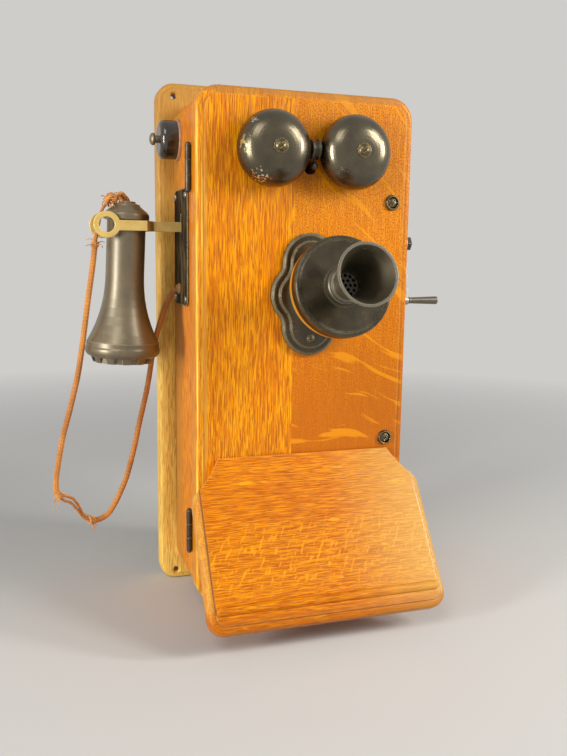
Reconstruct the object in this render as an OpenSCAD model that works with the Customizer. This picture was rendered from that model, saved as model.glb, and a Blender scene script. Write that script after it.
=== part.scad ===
// Wooden wall telephone with a hand crank, twin gongs, a tilting transmitter and a hung receiver.
// Millimetres. The origin is the middle of the wall screws, on the back board's rear face.
// +X is to the right and +Z is up. The front faces -Y, so a depth d from the wall lies at Y = -d.

/* [Wall screws] */
// Distance of the wall screws from the board's sides
screw_side = 15.3; // [13:0.1:17]
// Distance of the wall screws from the board's ends, on average
screw_end = 10.5; // [10:0.5:14]
// Diameter of each wall screw hole
screw_hole_d = 5; // [4:0.5:6]
// Diameter of each countersink
screw_sink_d = 8; // [7:0.5:9]

/* [Back board] */
// How far the back board reaches past the case at each side
board_side = 15.3; // [14:0.1:24]
// How far the back board reaches past the case at its ends, on average
board_end = 17.5; // [16:0.5:26]
// How far the board's middle lies above the middle of the wall screws
board_rise = 1.4; // [0:0.1:2]
// Thickness of the back board
board_t = 16; // [12:1:22]
// Corner radius of the back board
board_r = 16; // [8:1:20]
// Rounding of the board's front edge
board_edge = 4; // [2:0.5:4.5]
// Width of the moulded border round the board
board_border = 5; // [5:0.5:7]
// Depth of the step inside the board's border
board_step = 0.8; // [0.5:0.1:1.5]

/* [Case] */
// Width of the case
case_w = 195; // [186:1:206]
// Height of the case
case_h = 441; // [424:1:456]
// Depth of the case sides
case_d = 77.4; // [74:0.2:90]
// Thickness of the case sides
case_wall = 12; // [9:1:14]
// Outer corner radius of the case
case_r = 20; // [16:1:26]
// Width of the blocks that take the door screws
block_w = 14; // [12:1:18]
// Height of the blocks that take the door screws
block_h = 20; // [16:1:22]
// Length of the blocks, back from the case's front edge
block_l = 26; // [18:1:40]

/* [Door] */
// How far the door reaches past the case at each side
door_side = 0.5; // [0:0.1:1.5]
// How far the door reaches past the case at each end
door_end = 2; // [0:0.5:4]
// Thickness of the door
door_t = 19.5; // [16:0.5:24]
// Corner radius of the door
door_r = 20; // [14:1:26]
// Rounding of the door's moulded edge
door_edge = 4; // [2:0.5:5]
// Width of the moulded border round the door
door_border = 7; // [5.5:0.5:9]
// Depth of the step inside the moulded border
door_step = 1; // [0.5:0.1:2]
// Distance of the door screws from the inside of the case's right side
lock_in = 6.25; // [5:0.25:8]
// Drop of the upper door screw below the case's top
lock_drop = 88.1; // [80:0.1:90]
// Rise of the lower door screw above the case's bottom
lock_rise = 139.9; // [130:0.1:150]
// Shank diameter of the door screws
lock_d = 4; // [3:0.5:5]
// Diameter of the cup washers
washer_d = 14; // [11:0.5:16]
// How far the door screws reach into their blocks
lock_reach = 9; // [6:1:12]

/* [Hinges] */
// How far the hinge axis lies outside the door's edge
hinge_out = 2.6; // [2:0.1:3]
// Drop of the upper hinge's middle below the case's top
hinge_drop = 63.4; // [50:0.1:90]
// Rise of the lower hinge's middle above the case's bottom
hinge_rise = 60.4; // [50:0.1:90]
// Length of each hinge
hinge_l = 37; // [30:1:44]
// Barrel diameter of the hinges
barrel_d = 5.2; // [4.4:0.2:5.6]
// Diameter of the hinge pins
hinge_pin_d = 2.4; // [1.8:0.1:2.8]
// Width of the hinge leaves
leaf_w = 11; // [8:0.5:12]
// Thickness of the hinge leaves
leaf_t = 1.2; // [1:0.1:1.6]

/* [Gongs and ringer] */
// Sideways place of the gongs and the ringer on the door
bell_x = 1.3; // [-6:0.1:6]
// Drop of the gongs below the case's top
gong_drop = 48.1; // [45:0.1:52]
// Diameter of the gongs
gong_d = 63; // [58:0.5:66]
// Spacing of the gongs
gong_dx = 72.6; // [71:0.2:78]
// Depth of each gong
gong_h = 21; // [16:0.5:24]
// Wall of the gongs
gong_t = 1.6; // [1.2:0.1:2.4]
// Stand-off of the gong rims from the door
gong_off = 9.7; // [9.5:0.1:14]
// Diameter of the gong posts
post_d = 10; // [8:0.5:12]
// Shank diameter of the gong screws
gong_screw_d = 4; // [3:0.5:5]
// Diameter of the striker's flanges
striker_d = 16.5; // [12:0.5:18]
// Diameter of the ringer coils
coil_d = 21; // [16:0.5:22]
// Length of the ringer coils
coil_l = 34; // [28:1:36]
// Spacing of the ringer coils
coil_dx = 36; // [34:0.5:44]
// Diameter of the iron cores
core_d = 7; // [5:0.5:9]
// Thickness of the ringer's base plate
frame_t = 2.5; // [2:0.5:4]
// Height of the clapper's pivot below the gongs
clapper_drop = 24.5; // [24:0.5:26]
// Diameter of the clapper rod
rod_d = 2.2; // [1.8:0.1:3]

/* [Transmitter] */
// Sideways place of the transmitter on the door
fit_x = 2.25; // [-6:0.25:6]
// Drop of the middle of the transmitter's base below the case's top
base_drop = 169.1; // [160:0.1:178]
// Half the height of the base
base_half_h = 53; // [50:0.5:58]
// Half the width of the base
base_half_w = 35.5; // [33:0.5:40]
// Radius of the base's upper and lower lobes
base_lobe_r = 25; // [22:0.5:27]
// Radius of the base's side lobes
base_side_r = 26; // [24:0.5:28]
// Radius of the hollows between the lobes
base_waist_r = 14; // [10:0.5:20]
// Distance of the base screws from the base's middle
base_screw_z = 38; // [34:0.5:42]
// Distance of the tilt pivot from the door
pivot_off = 24.7; // [22:0.1:32]
// Tilt of the transmitter above level, as it rests
tilt = 13.2; // [0:0.1:20]
// Radius of the pivot lugs
lug_r = 7.5; // [6:0.5:9]
// Thickness of each pivot lug
lug_t = 4.5; // [3:0.5:6]
// Space between the pivot lugs
lug_gap = 11; // [9:0.5:14]
// Diameter of the pivot screw
pivot_d = 5; // [4:0.5:6]
// Distance from the pivot to the transmitter's face
face_f = 57; // [52:0.1:64]
// Radius of the transmitter's face
face_r = 40.4; // [36:0.1:44]
// Depth of the cup behind the face
cup_depth = 32; // [26:0.5:34]
// Wall of the cup
cup_wall = 2; // [1.5:0.1:3]
// Length of the mouthpiece in front of the face
mouth_l = 45.8; // [40:0.1:56]
// Radius of the mouthpiece's rim
mouth_r = 24.3; // [20:0.1:28]
// Radius of the mouthpiece's throat
throat_r = 12; // [10:0.5:13]
// Wall of the mouthpiece
mouth_wall = 2.2; // [1.6:0.1:3]

/* [Shelf] */
// How far the writing shelf reaches past the door at each side
shelf_side = 7.5; // [2:0.5:10]
// Length of the shelf down its slope
shelf_l = 147; // [130:1:152]
// Thickness of the shelf
shelf_t = 13; // [10:0.5:16]
// Slope of the shelf from upright
shelf_slope = 34.6; // [28:0.2:40]
// Rise of the shelf's top edge above the case's bottom
shelf_rise = 130.6; // [120:0.1:134]
// How far the shelf's top edge stands off the door
shelf_lip = 2.5; // [1:0.1:5]
// Width of the scooped upper corners
scoop_w = 25; // [18:0.5:32]
// Height of the scooped upper corners
scoop_h = 32; // [24:0.5:40]
// Radius of the scoops
scoop_r = 90; // [40:1:140]
// Corner radius at the shelf's lower end
shelf_r = 14; // [10:1:20]
// Width of the pencil ledge
ledge_w = 8; // [6:0.5:10]
// Distance of the pencil ledge's ends from the shelf's sides
ledge_in = 6; // [5:0.5:20]
// Distance of the pencil ledge from the lower edge
ledge_up = 18; // [15:0.5:24]
// Spacing of the shelf brackets
bracket_dx = 120; // [80:1:150]
// Thickness of the shelf brackets
bracket_t = 12; // [8:0.5:16]

/* [Hook] */
// Drop of the hook's strip below the case's top
hook_drop = 112; // [108:0.1:116]
// Depth of the hook from the wall
hook_depth = 56; // [53:0.5:58]
// Height of the hook's strip
strip_h = 8.6; // [6:0.2:9]
// Thickness of the hook's strip
strip_t = 2.2; // [1.6:0.1:2.8]
// Space between the fork's tines
fork_gap = 35.1; // [34.6:0.1:36]
// Distance from the case to the fork's bend
fork_bend = 28.6; // [22:0.2:29]
// Distance from the case to the rings
ring_out = 68.7; // [67:0.1:76]
// Outer diameter of the fork's rings
ring_d = 22.3; // [18:0.1:23]
// Hole in the fork's rings
ring_hole_d = 13; // [9:0.5:15]
// Distance of the hook's pivot inside the case's left wall
hook_pivot_in = 8.5; // [8:0.5:14]
// Diameter of the hook's pivot pin
hook_pin_d = 4; // [3:0.5:5]
// Width of the hook plate
plate_w = 56; // [44:1:58]
// Height of the hook plate
plate_h = 102; // [90:1:106]
// Thickness of the hook plate
plate_t = 1.8; // [1.2:0.1:2.4]
// Drop of the plate's lower edge below the hook's strip
plate_drop = 69; // [66:0.5:74]
// Shank diameter of the plate's screws
plate_screw_d = 3; // [2.4:0.2:3.6]
// How far the plate's screws reach into the case
plate_screw_l = 9; // [6:0.5:9]

/* [Receiver] */
// Distance from the case to the receiver's neck
receiver_out = 49.7; // [48.5:0.1:51]
// Lean of the hanging receiver
receiver_lean = 2.6; // [0:0.1:3]
// Barrel radius of the receiver
barrel_r = 16.7; // [14:0.1:17]
// Radius of the receiver's head
head_r = 19.5; // [19:0.1:20.4]
// Height of the receiver's head
head_h = 15.9; // [12:0.1:18]
// Length from the head to the ear cap
shell_l = 106; // [98:0.5:112]
// Radius of the ear cap
ear_r = 32.9; // [31:0.1:34]
// Height of the ear cap
ear_h = 18.2; // [16:0.1:20]
// Hole in the ear cap
ear_hole_d = 14; // [10:0.5:18]
// Wall of the receiver's shell
shell_wall = 4; // [3:0.5:5]

/* [Cord] */
// Diameter of the receiver cord
cord_d = 5; // [3.5:0.5:5.5]

/* [Crank and generator] */
// Drop of the crank shaft below the case's top
crank_drop = 122.9; // [121:0.1:126]
// Depth of the crank shaft from the wall
crank_depth = 62; // [61:0.5:64]
// Diameter of the crank shaft
shaft_d = 8; // [6:0.5:9]
// Throw of the crank
crank_r = 55; // [45:0.5:57]
// Angle of the crank arm in front of straight down
crank_angle = 8.05; // [-90:0.05:90]
// Gap between the crank arm and the plane of the back board's edge
arm_off = 0.7; // [0.5:0.1:6]
// Thickness of the crank arm
arm_t = 5; // [4:0.5:7]
// Diameter of the eye at the crank arm's end
arm_end_d = 8; // [7:0.5:10]
// Length of the crank grip
grip_l = 31.3; // [24:0.1:60]
// Diameter of the crank grip's outer end
grip_d = 7.8; // [7.4:0.1:14]
// Diameter of the grip's axle
axle_d = 3; // [2.5:0.1:3.4]
// Teeth on the drive gear
gear_teeth = 42; // [42:1:42]
// Teeth on the pinion
pinion_teeth = 12; // [12:1:12]
// Module of the gears
gear_m = 1; // [0.98:0.01:1.02]
// Face width of the gears
gear_w = 6; // [4:0.5:7]
// Diameter of the armature
armature_d = 28; // [24:0.5:29]
// Diameter of the armature's shaft
armature_shaft_d = 5; // [4:0.5:6]
// Length of the generator between its end plates
gen_l = 56; // [50:1:58]
// Distance of the generator's right end plate from the inside of the case
gen_in = 23.5; // [22:0.5:26]
// Width over the pole pieces
pole_w = 42; // [40:0.5:44]
// Thickness of the magnet bars
magnet_t = 7; // [5:0.5:7.5]
// Width of each magnet
magnet_w = 16; // [12:0.5:16]

/* [Push button] */
// Drop of the push button below the case's top
button_drop = 34.8; // [32:0.1:38]
// Depth of the push button from the wall
button_depth = 37; // [36:0.5:40]
// Diameter of the button's housing
housing_d = 34; // [28:0.5:34]
// Height of the button's housing
housing_h = 15.5; // [12:0.5:18]
// Diameter of the button's head
button_d = 11; // [9:0.5:13]
// Thickness of the button's head
button_t = 4.6; // [3:0.2:5]
// Diameter of the button's neck
button_neck_d = 6.5; // [5:0.5:7]
// How far the button stands out
button_out = 8; // [8:0.5:10]
// Travel of the button
button_travel = 2.5; // [1.5:0.1:3]

/* [Parts on the back board] */
// Rise of the induction coil above the case's bottom
ind_rise = 190.5; // [180:0.5:200]
// Rise of the condenser's middle above the case's bottom
cond_rise = 116.5; // [106:0.5:122]
// Rise of the terminal strip's middle above the case's bottom
strip_rise = 36.5; // [30:0.5:44]
// Length of the induction coil's winding
ind_l = 64; // [50:1:80]
// Diameter of the induction coil's winding
ind_d = 26; // [20:0.5:28]
// Size of the induction coil's end cheeks
cheek = 32; // [30:1:36]
// Width of the condenser
cond_w = 52; // [40:1:60]
// Height of the condenser
cond_h = 64; // [50:1:66]
// Depth of the condenser
cond_d = 28; // [20:1:32]
// Distance of the terminal strip's ends from the case's sides
strip_in = 15.5; // [10:0.5:30]

/* [Clearances] */
// Gap between the door and the case
door_gap = 0.4; // [0.3:0.1:0.6]
// Radial clearance of a turning fit
run_gap = 0.05; // [0.03:0.01:0.08]
// Clearance of a seated piece
seat_gap = 0.05; // [0.02:0.01:0.1]
// Free gap between moving pieces
free_gap = 0.4; // [0.3:0.05:0.6]
// Radial room round the door screws in their blocks
lock_gap = 0.9; // [0.7:0.1:1]

/* [Hidden] */
$fn = 64;
// The board, the door and the shelf follow the case
board_w = case_w + 2 * board_side;
board_h = case_h + 2 * board_end;
screw_dx = board_w - 2 * screw_side;
screw_dz = board_h - 2 * screw_end;
door_w = case_w + 2 * door_side;
door_h = case_h + 2 * door_end;
shelf_w = door_w + 2 * shelf_side;
ledge_l = shelf_w - 2 * ledge_in;
// Heights
hinge_heights = [case_h / 2 - hinge_drop, hinge_rise - case_h / 2];
lock_heights = [case_h / 2 - lock_drop, lock_rise - case_h / 2];
gong_z = case_h / 2 - gong_drop;
base_z = case_h / 2 - base_drop;
hook_z = case_h / 2 - hook_drop;
crank_z = case_h / 2 - crank_drop;
button_z = case_h / 2 - button_drop;
shelf_top_z = shelf_rise - case_h / 2;
ind_z = ind_rise - case_h / 2;
cond_z = cond_rise - case_h / 2;
strip_z = strip_rise - case_h / 2;
// Depths from the wall
case_front = board_t + case_d;
door_back = case_front + door_gap;
door_front = door_back + door_t;
case_in = case_w / 2 - case_wall;
case_left = -case_w / 2;
// Hinge axis
hinge_x = -(door_w / 2 + hinge_out);
hinge_d = case_front + door_gap / 2;
knuckle = hinge_l / 3;
outer_knuckles = [[-hinge_l / 2, -knuckle / 2 - free_gap / 2], [knuckle / 2 + free_gap / 2, hinge_l / 2]];
inner_knuckle = [[-knuckle / 2, knuckle / 2]];
case_leaf_y = door_gap / 2;
door_leaf_y = -door_gap / 2 - leaf_t;
// Door screws
lock_x = case_in - lock_in;
lock_cup = 2.2;
cup_floor = 0.5;
lock_head_d = washer_d - 4;
// Gongs
gong_rim = door_front + gong_off;
gong_apex = gong_rim + gong_h;
gong_flat = post_d / 2 + 1;
gong_power = 2.3;
gong_head_d = gong_screw_d + 5.5;
gong_screw_l = 12;
gong_washer_t = 0.8;
striker_gap = 1.2;
striker_l = gong_dx - gong_d - 2 * striker_gap;
striker_z = gong_z + 1;
ball_d = 6.5;
flange_t = 1.2;
// Ringer on the inside of the door
pivot_z_clapper = gong_z - clapper_drop;
slot_z = gong_z - 12.5;
slot_w = 10;
slot_h = 12;
clapper_pin_d = 3;
coil_d_wall = door_back - frame_t - coil_d / 2 - 2;
core_end_z = pivot_z_clapper + 4;
coil_low_z = core_end_z + 1.5;
heel_z = coil_low_z + coil_l;
heel_t = 5;
heel_w = coil_dx + core_d + 9;
frame_w = coil_dx + coil_d + 11;
bar_t = 4;
bar_w = 14;
bar_back = coil_d_wall - coil_d / 2 - 1;
foot_z = pivot_z_clapper - 13;
armature_bar_t = 4;
armature_bar_w = 8;
clapper_hub_d = 8;
rod_depth = door_back - frame_t - 4;
rod_seat = 2.2;
// Transmitter
pivot_depth = door_front + pivot_off;
face_t = 3.5;
cup_front = face_f - face_t;
cup_back = cup_front - cup_depth;
axis_z = base_z - 1.9;
base_layer = [3, 1.5, 2.5];
base_inset = [0, 1.5, 7];
base_top = base_layer[0] + base_layer[1] + base_layer[2];
base_screw_d = 4;
base_screw_l = 11;
// Middles of the lobes of the base, then of the hollow that touches both of them
side_at = [base_half_w - base_side_r, 0];
lobe_at = [0, base_half_h - base_lobe_r];
lobe_dir = (lobe_at - side_at) / norm(lobe_at - side_at);
side_reach = base_side_r + base_waist_r;
lobe_reach = base_lobe_r + base_waist_r;
waist_along = (side_reach * side_reach - lobe_reach * lobe_reach) / norm(lobe_at - side_at) / 2
    + norm(lobe_at - side_at) / 2;
waist_across = sqrt(side_reach * side_reach - waist_along * waist_along);
waist_at = side_at + waist_along * lobe_dir + waist_across * [lobe_dir[1], -lobe_dir[0]];
side_turn = atan2(waist_at[1] - side_at[1], waist_at[0] - side_at[0]);
lobe_turn = atan2(waist_at[1] - lobe_at[1], waist_at[0] - lobe_at[0]);
pedestal_h = 16;
pedestal_r = 26;
pedestal_top_r = 14;
stem_w = lug_gap - 2 * free_gap;
stem_d = 11;
cup_power = 2.8;
cup_flat = 9;
face_seat = face_f - 0.4;
face_low = face_f - 1;
face_inner = face_f - 6;
collar_r = throat_r + 3;
face_hole_r = throat_r - 1;
neck_r = face_hole_r - 1.6;
grille_hole_d = 2.6;
grille_t = 2;
grille_rings = [[0, 1], [4, 6], [7.8, 12]];
rim_hole_d = 2;
rim_hole_in = 4;
grille_low = face_seat + 1;
horn_from = face_seat + 8;
horn_run = face_f + mouth_l - horn_from;
horn_power = 1.5;
// Shelf
shelf_depth = door_front + shelf_lip;
shelf_edge = 4.5;
shelf_border = 6;
shelf_step = 1;
shelf_meets_door = (shelf_t * cos(shelf_slope) - shelf_lip) / sin(shelf_slope);
bracket_share = 0.76;
bracket_cove = 30;
scoop_chord = norm([scoop_w, scoop_h]);
scoop_out = sqrt(scoop_r * scoop_r - scoop_chord * scoop_chord / 4) / scoop_chord;
scoop_at = [
    shelf_w / 2 - scoop_w / 2 + scoop_out * scoop_h, -scoop_h / 2 + scoop_out * scoop_w
];
// Hook
plate_r = 8;
plate_low = hook_z - plate_drop;
fork_mid = fork_gap / 2 + strip_t / 2;
ring_x = case_left - ring_out;
bend_x = case_left - fork_bend;
bend_run = 6;
hook_pivot_x = -case_in + hook_pivot_in;
hub_d = 2.6 * hook_pin_d;
hub_w = 8;
ear_gap = hub_w + 3;
ear_t = 2;
bracket_t_hook = 2;
slot_room = 3;
hook_rise = 6;
ring_lift = 0.5;
hook_bracket_h = plate_h * 0.75;
case_middle = board_t + case_d / 2;
switch_x = hook_pivot_x - 4;
// Receiver
receiver_x = case_left - receiver_out;
rest_gap = 0.7;
receiver_z = hook_z + strip_h / 2 + rest_gap;
flare_from = 45;
flare_run = shell_l - flare_from;
flare_r = ear_r - 1.4;
flare_power = 2.3;
notches = 12;
notch_w = 7;
notch_h = 5;
// Generator
gen_x = case_in - gen_in;
gen_left = gen_x - gen_l;
end_t = 3;
armature_z = crank_z - gear_m * (gear_teeth + pinion_teeth) / 2;
pole_low = armature_z - armature_d * 0.6;
pole_high = armature_z + armature_d * 0.6;
pole_slot = 10;
magnets = 3;
magnet_gap = (gen_l - 4 - magnets * magnet_w) / (magnets - 1);
magnet_out = pole_w / 2 + magnet_t;
gear_x = gen_x + end_t + 4;
bush_d = shaft_d + 6;
arm_x = board_w / 2 + arm_off;
grip_pos = [crank_depth + crank_r * sin(crank_angle), crank_z - crank_r * cos(crank_angle)];
arm_hub_d = shaft_d + 8;
grip_off = 1.5;
axle_head_d = axle_d + 1.6;
axle_head_t = 1;
axle_sink = 2;
axle_l = grip_off + grip_l + 2 * free_gap - axle_sink;
end_high = crank_z + shaft_d + 6;
gen_margin = 6;
gen_base_t = crank_depth - magnet_out - board_t;
gen_base_low = pole_low - gen_margin;
gen_base_high = crank_z + magnet_out + gen_margin / 3;
// Gear teeth: tip and root in modules, then the share of the pitch at root, pitch line and tip
gear_tip = 0.85;
gear_root = 1.25;
tooth_share = [0.27, 0.21, 0.1];
// Push button
base_ring_t = 2.5;
button_bore = button_neck_d / 2 + run_gap;
button_stop = 2;
button_shoulder = button_travel + 4;
housing_edge = 5;
// Parts on the back board below the generator
ind_x = -10;
cond_x = -34;
strip_l = 2 * (case_in - strip_in);
strip_w = 22;
strip_d = 12;
posts = 5;
// Cord
bush_len = 3.7;
bush_cord_d = cord_d + 3;
cord_depth = hook_depth - 6;
cord_z = plate_low + 14.5;
cord_sides = 10;
cord_bore_d = cord_d + 1.4;
cord_steps = 2;
// Hand-chosen points of the cord, from the bushing on the hook plate round to the receiver's top.
// Each is counted outward from the case, forward or back from the hook, and up or down from the hook.
cord_steps_out = [
    [-5.5, 6, -54.5], [-9.5, 9, -60.5], [-14.5, 15, -73.5], [-19.5, 21, -92.5], [-23.5, 25, -111.5],
    [-26.5, 26, -131.5], [-30.5, 25, -152.5], [-37.5, 21, -178.5], [-44.5, 17, -206.5], [-52.5, 12, -230.5],
    [-63.5, 8, -250.5], [-76.5, 4, -262.5], [-89.5, 0, -261.5], [-101.5, -4, -249.5], [-110.5, -6, -232.5],
    [-114.5, -8, -211.5], [-109.5, -9, -185.5], [-102.5, -9, -159.5], [-95.5, -9, -131.5],
    [-91.5, -8, -109.5], [-88.5, -7, -90.5], [-84.5, -6, -63.5], [-80.5, -5, -38.5], [-77.5, -4, -16.5],
    [-75.5, -3, 0.5], [-71.5, -2, 13.5], [-64.5, -1, 24.5], [-55.5, 0, 28.5], [-49, 0, 24.5], [-49, 0, 15.5]
];
cord_route = [for (p = cord_steps_out) p + [case_left, -hook_depth, hook_z]];

// Draws children with x across, y up and z forward, starting at a depth from the wall
module front(depth) translate([0, -depth, 0]) rotate([90, 0, 0]) children();

// Draws children with x as depth, y up and z to the right, starting at an X place
module to_right(x) translate([x, 0, 0]) rotate([90, 0, 90]) mirror([1, 0, 0]) children();

// Draws children with x as depth, y up and z to the left, starting at an X place
module to_left(x) translate([x, 0, 0]) rotate([90, 0, -90]) children();

// Rectangle with round corners, centred
module rounded_rect(w, h, r) {
    square([w, h - 2 * r], center = true);
    square([w - 2 * r, h], center = true);
    for (x = [-1, 1], y = [-1, 1]) translate([x * (w / 2 - r), y * (h / 2 - r)]) circle(r);
}

// Right half of a board's cross-section, with a moulded border and a rounded front edge
module half_section(half, t, edge, border, step) {
    square([half - border, t]);
    square([half - edge, t - step]);
    square([half, t - step - edge]);
    translate([half - edge, t - step - edge]) circle(edge);
}

module full_section(half, t, edge, border, step) {
    half_section(half, t, edge, border, step);
    mirror([1, 0]) half_section(half, t, edge, border, step);
}

// Flat board with round corners whose moulded edge runs all the way round its front face
module rounded_board(w, h, t, r, edge, border, step) {
    translate([0, h / 2 - r, 0]) rotate([90, 0, 0])
        linear_extrude(h - 2 * r) full_section(w / 2, t, edge, border, step);
    translate([r - w / 2, 0, 0]) rotate([90, 0, 90])
        linear_extrude(w - 2 * r) full_section(h / 2, t, edge, border, step);
    for (k = [0:3]) translate([(k == 0 || k == 3 ? 1 : -1) * (w / 2 - r), (k < 2 ? 1 : -1) * (h / 2 - r), 0])
        rotate(90 * k) rotate_extrude(angle = 90) half_section(r, t, edge, border, step);
}

// Slotted round-head screw whose head starts at z = 0 and whose shank runs down
module round_screw(shank_d, shank_l, head_d, head_h) {
    dome_r = (head_d * head_d / 4 + head_h * head_h) / (2 * head_h);
    difference() {
        union() {
            translate([0, 0, -shank_l]) cylinder(d = shank_d, h = shank_l);
            intersection() {
                cylinder(d = head_d, h = head_h);
                translate([0, 0, head_h - dome_r]) sphere(dome_r);
            }
        }
        translate([-head_d / 2 - 1, -head_d / 16, head_h * 0.55]) cube([head_d + 2, head_d / 8, head_h]);
    }
}

// Board that carries everything on the wall
module back_board() color("tan") difference() {
    sink = (screw_sink_d - screw_hole_d) / 2;
    front(0) translate([0, board_rise, 0])
        rounded_board(board_w, board_h, board_t, board_r, board_edge, board_border, board_step);
    for (x = [-1, 1], z = [-1, 1]) front(-1) translate([x * screw_dx / 2, z * screw_dz / 2, 0]) {
        cylinder(d = screw_hole_d, h = board_t + 2);
        translate([0, 0, board_t + 1 - sink]) cylinder(d1 = screw_hole_d, d2 = screw_sink_d, h = sink);
    }
}

// Outer body of the case, from which the four boards are cut
module case_body() front(board_t) linear_extrude(case_d) rounded_rect(case_w, case_h, case_r);

module case_slab(x0, x1, z0, z1) intersection() {
    case_body();
    translate([x0, -case_front - 1, z0]) cube([x1 - x0, case_d + 2, z1 - z0]);
}

module hinge_places() for (z = hinge_heights) translate([hinge_x, -hinge_d, z]) children();

// Room cut for the hinge barrels and one leaf, with the leaf behind or in front of the joint
module hinge_room(leaf_y) hinge_places() {
    cylinder(r = barrel_d / 2 + free_gap, h = hinge_l + barrel_d + 2 * free_gap, center = true);
    translate([0, min(leaf_y, 0), -hinge_l / 2 - seat_gap])
        cube([leaf_w + seat_gap, leaf_t + door_gap / 2, hinge_l + 2 * seat_gap]);
}

module case_left_side() color("goldenrod") difference() {
    case_slab(case_left - 1, -case_in, -case_h, case_h);
    hinge_room(case_leaf_y);
    to_right(case_left - 1) translate([hook_depth, hook_z + hook_rise / 2, 0])
        linear_extrude(case_wall + 2)
            square([strip_t + 2 * slot_room, strip_h + hook_rise + 2], center = true);
    to_right(case_left - 1) translate([cord_depth, cord_z, 0]) cylinder(d = cord_d + 1, h = case_wall + 2);
    to_right(case_left - 1) translate([button_depth, button_z, 0]) cylinder(d = button_d, h = case_wall + 2);
    plate_screw_holes();
}

module case_right_side() color("goldenrod") difference() {
    case_slab(case_in, case_w / 2 + 1, -case_h, case_h);
    to_right(case_in - 1) translate([crank_depth, crank_z, 0]) cylinder(d = bush_d, h = case_wall + 2);
}

module case_top() color("goldenrod") case_slab(-case_in, case_in, case_h / 2 - case_wall, case_h / 2 + 1);

module case_bottom() color("goldenrod") case_slab(-case_in, case_in, -case_h / 2 - 1, case_wall - case_h / 2);

// Blocks inside the right wall that take the door screws
module closing_blocks() color("peru") for (z = lock_heights) difference() {
    translate([case_in - block_w, -case_front, z - block_h / 2]) cube([block_w, block_l, block_h]);
    front(case_front - lock_reach - 2) translate([lock_x, z, 0])
        cylinder(r = lock_d / 2 + lock_gap, h = lock_reach + 3);
}

// One side of the two hinges: leaf and knuckles, between the given heights of each knuckle
module hinge_leaves(leaf_y, knuckles, others) hinge_places() difference() {
    union() {
        translate([0, leaf_y, -hinge_l / 2]) cube([leaf_w, leaf_t, hinge_l]);
        for (k = knuckles) translate([0, 0, k[0]]) cylinder(d = barrel_d, h = k[1] - k[0]);
    }
    for (k = others) translate([0, 0, k[0] - free_gap / 2])
        cylinder(r = barrel_d / 2 + free_gap, h = k[1] - k[0] + free_gap);
    cylinder(r = hinge_pin_d / 2 + run_gap, h = hinge_l + 2, center = true);
}

module hinge_case_leaves() color("dimgray") hinge_leaves(case_leaf_y, outer_knuckles, inner_knuckle);

module hinge_door_leaves() color("dimgray") hinge_leaves(door_leaf_y, inner_knuckle, outer_knuckles);

module hinge_pins() color("gray") hinge_places() {
    cylinder(d = hinge_pin_d, h = hinge_l, center = true);
    for (s = [-1, 1]) translate([0, 0, s * hinge_l / 2]) intersection() {
        sphere(d = barrel_d - 0.4);
        translate([0, 0, s * barrel_d / 2]) cube(barrel_d, center = true);
    }
}

// Black plate on the left side, with a slot for the hook
module hook_plate() color("black") difference() {
    to_left(case_left) translate([case_middle, plate_low + plate_h / 2, 0])
        linear_extrude(plate_t) rounded_rect(plate_w, plate_h, plate_r);
    to_right(case_left - plate_t - 1) translate([hook_depth, hook_z + hook_rise / 2, 0])
        linear_extrude(plate_t + 2) square([strip_t + 2, strip_h + hook_rise + 2], center = true);
    to_right(case_left - plate_t - 1) translate([cord_depth, cord_z, 0])
        cylinder(d = cord_d + 1, h = plate_t + 2);
    plate_screw_holes();
}

// Places of the four plate screws, on the plate's outer face
module plate_screw_places() for (z = [0, 1], s = [-1, 1])
    to_left(case_left - plate_t) translate([
        case_middle + s * (plate_w / 2 - 6), plate_low + 6 + z * (plate_h - 12), 0
    ]) children();

module plate_screw_holes() plate_screw_places() translate([0, 0, -plate_t - plate_screw_l])
    cylinder(r = plate_screw_d / 2 + seat_gap, h = plate_t + plate_screw_l + 1);

module hook_plate_screws() color("silver") plate_screw_places()
    round_screw(plate_screw_d, plate_t + plate_screw_l - 1, 2 * plate_screw_d, 1.8);

// Bracket inside the left wall that carries the hook's pivot
module hook_bracket() color("darkgoldenrod") difference() {
    reach = hook_pivot_in + hub_d / 2;
    union() {
        to_right(-case_in) translate([hook_depth, hook_z - 6, 0])
            linear_extrude(bracket_t_hook) rounded_rect(ear_gap + 2 * ear_t + 10, hook_bracket_h, 4);
        for (s = [-1, 1]) front(hook_depth + s * (ear_gap + ear_t) / 2 - ear_t / 2)
            translate([-case_in, hook_z - hub_d / 2, 0]) cube([reach, hub_d, ear_t]);
        translate([-case_in, -hook_depth - 5, hook_z - 44]) cube([switch_x + 12 + case_in, 10, 8]);
    }
    to_right(-case_in - 1) translate([hook_depth, hook_z + hook_rise / 2, 0])
        linear_extrude(bracket_t_hook + 2)
            square([strip_t + 2 * slot_room, strip_h + hook_rise + 2], center = true);
    front(hook_depth - ear_gap) translate([hook_pivot_x, hook_z, 0])
        cylinder(r = hook_pin_d / 2 + seat_gap / 2, h = 2 * ear_gap);
}

module hook_pivot_pin() color("silver") front(hook_depth - ear_gap / 2 - ear_t - 0.5)
    translate([hook_pivot_x, hook_z, 0]) cylinder(d = hook_pin_d, h = ear_gap + 2 * ear_t + 1);

// Leaf springs of the hook switch, clamped at the foot of the hook's bracket
module switch_springs() color("khaki") for (k = [0:2])
    translate([switch_x + 4 * k, -hook_depth - 4, hook_z - 36]) {
        cube([0.6, 8, 26]);
        cube([3.2, 8, 5]);
        translate([-0.5, 4, 24]) rotate([0, 90, 0]) cylinder(d = 3, h = 1.6);
    }

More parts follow.
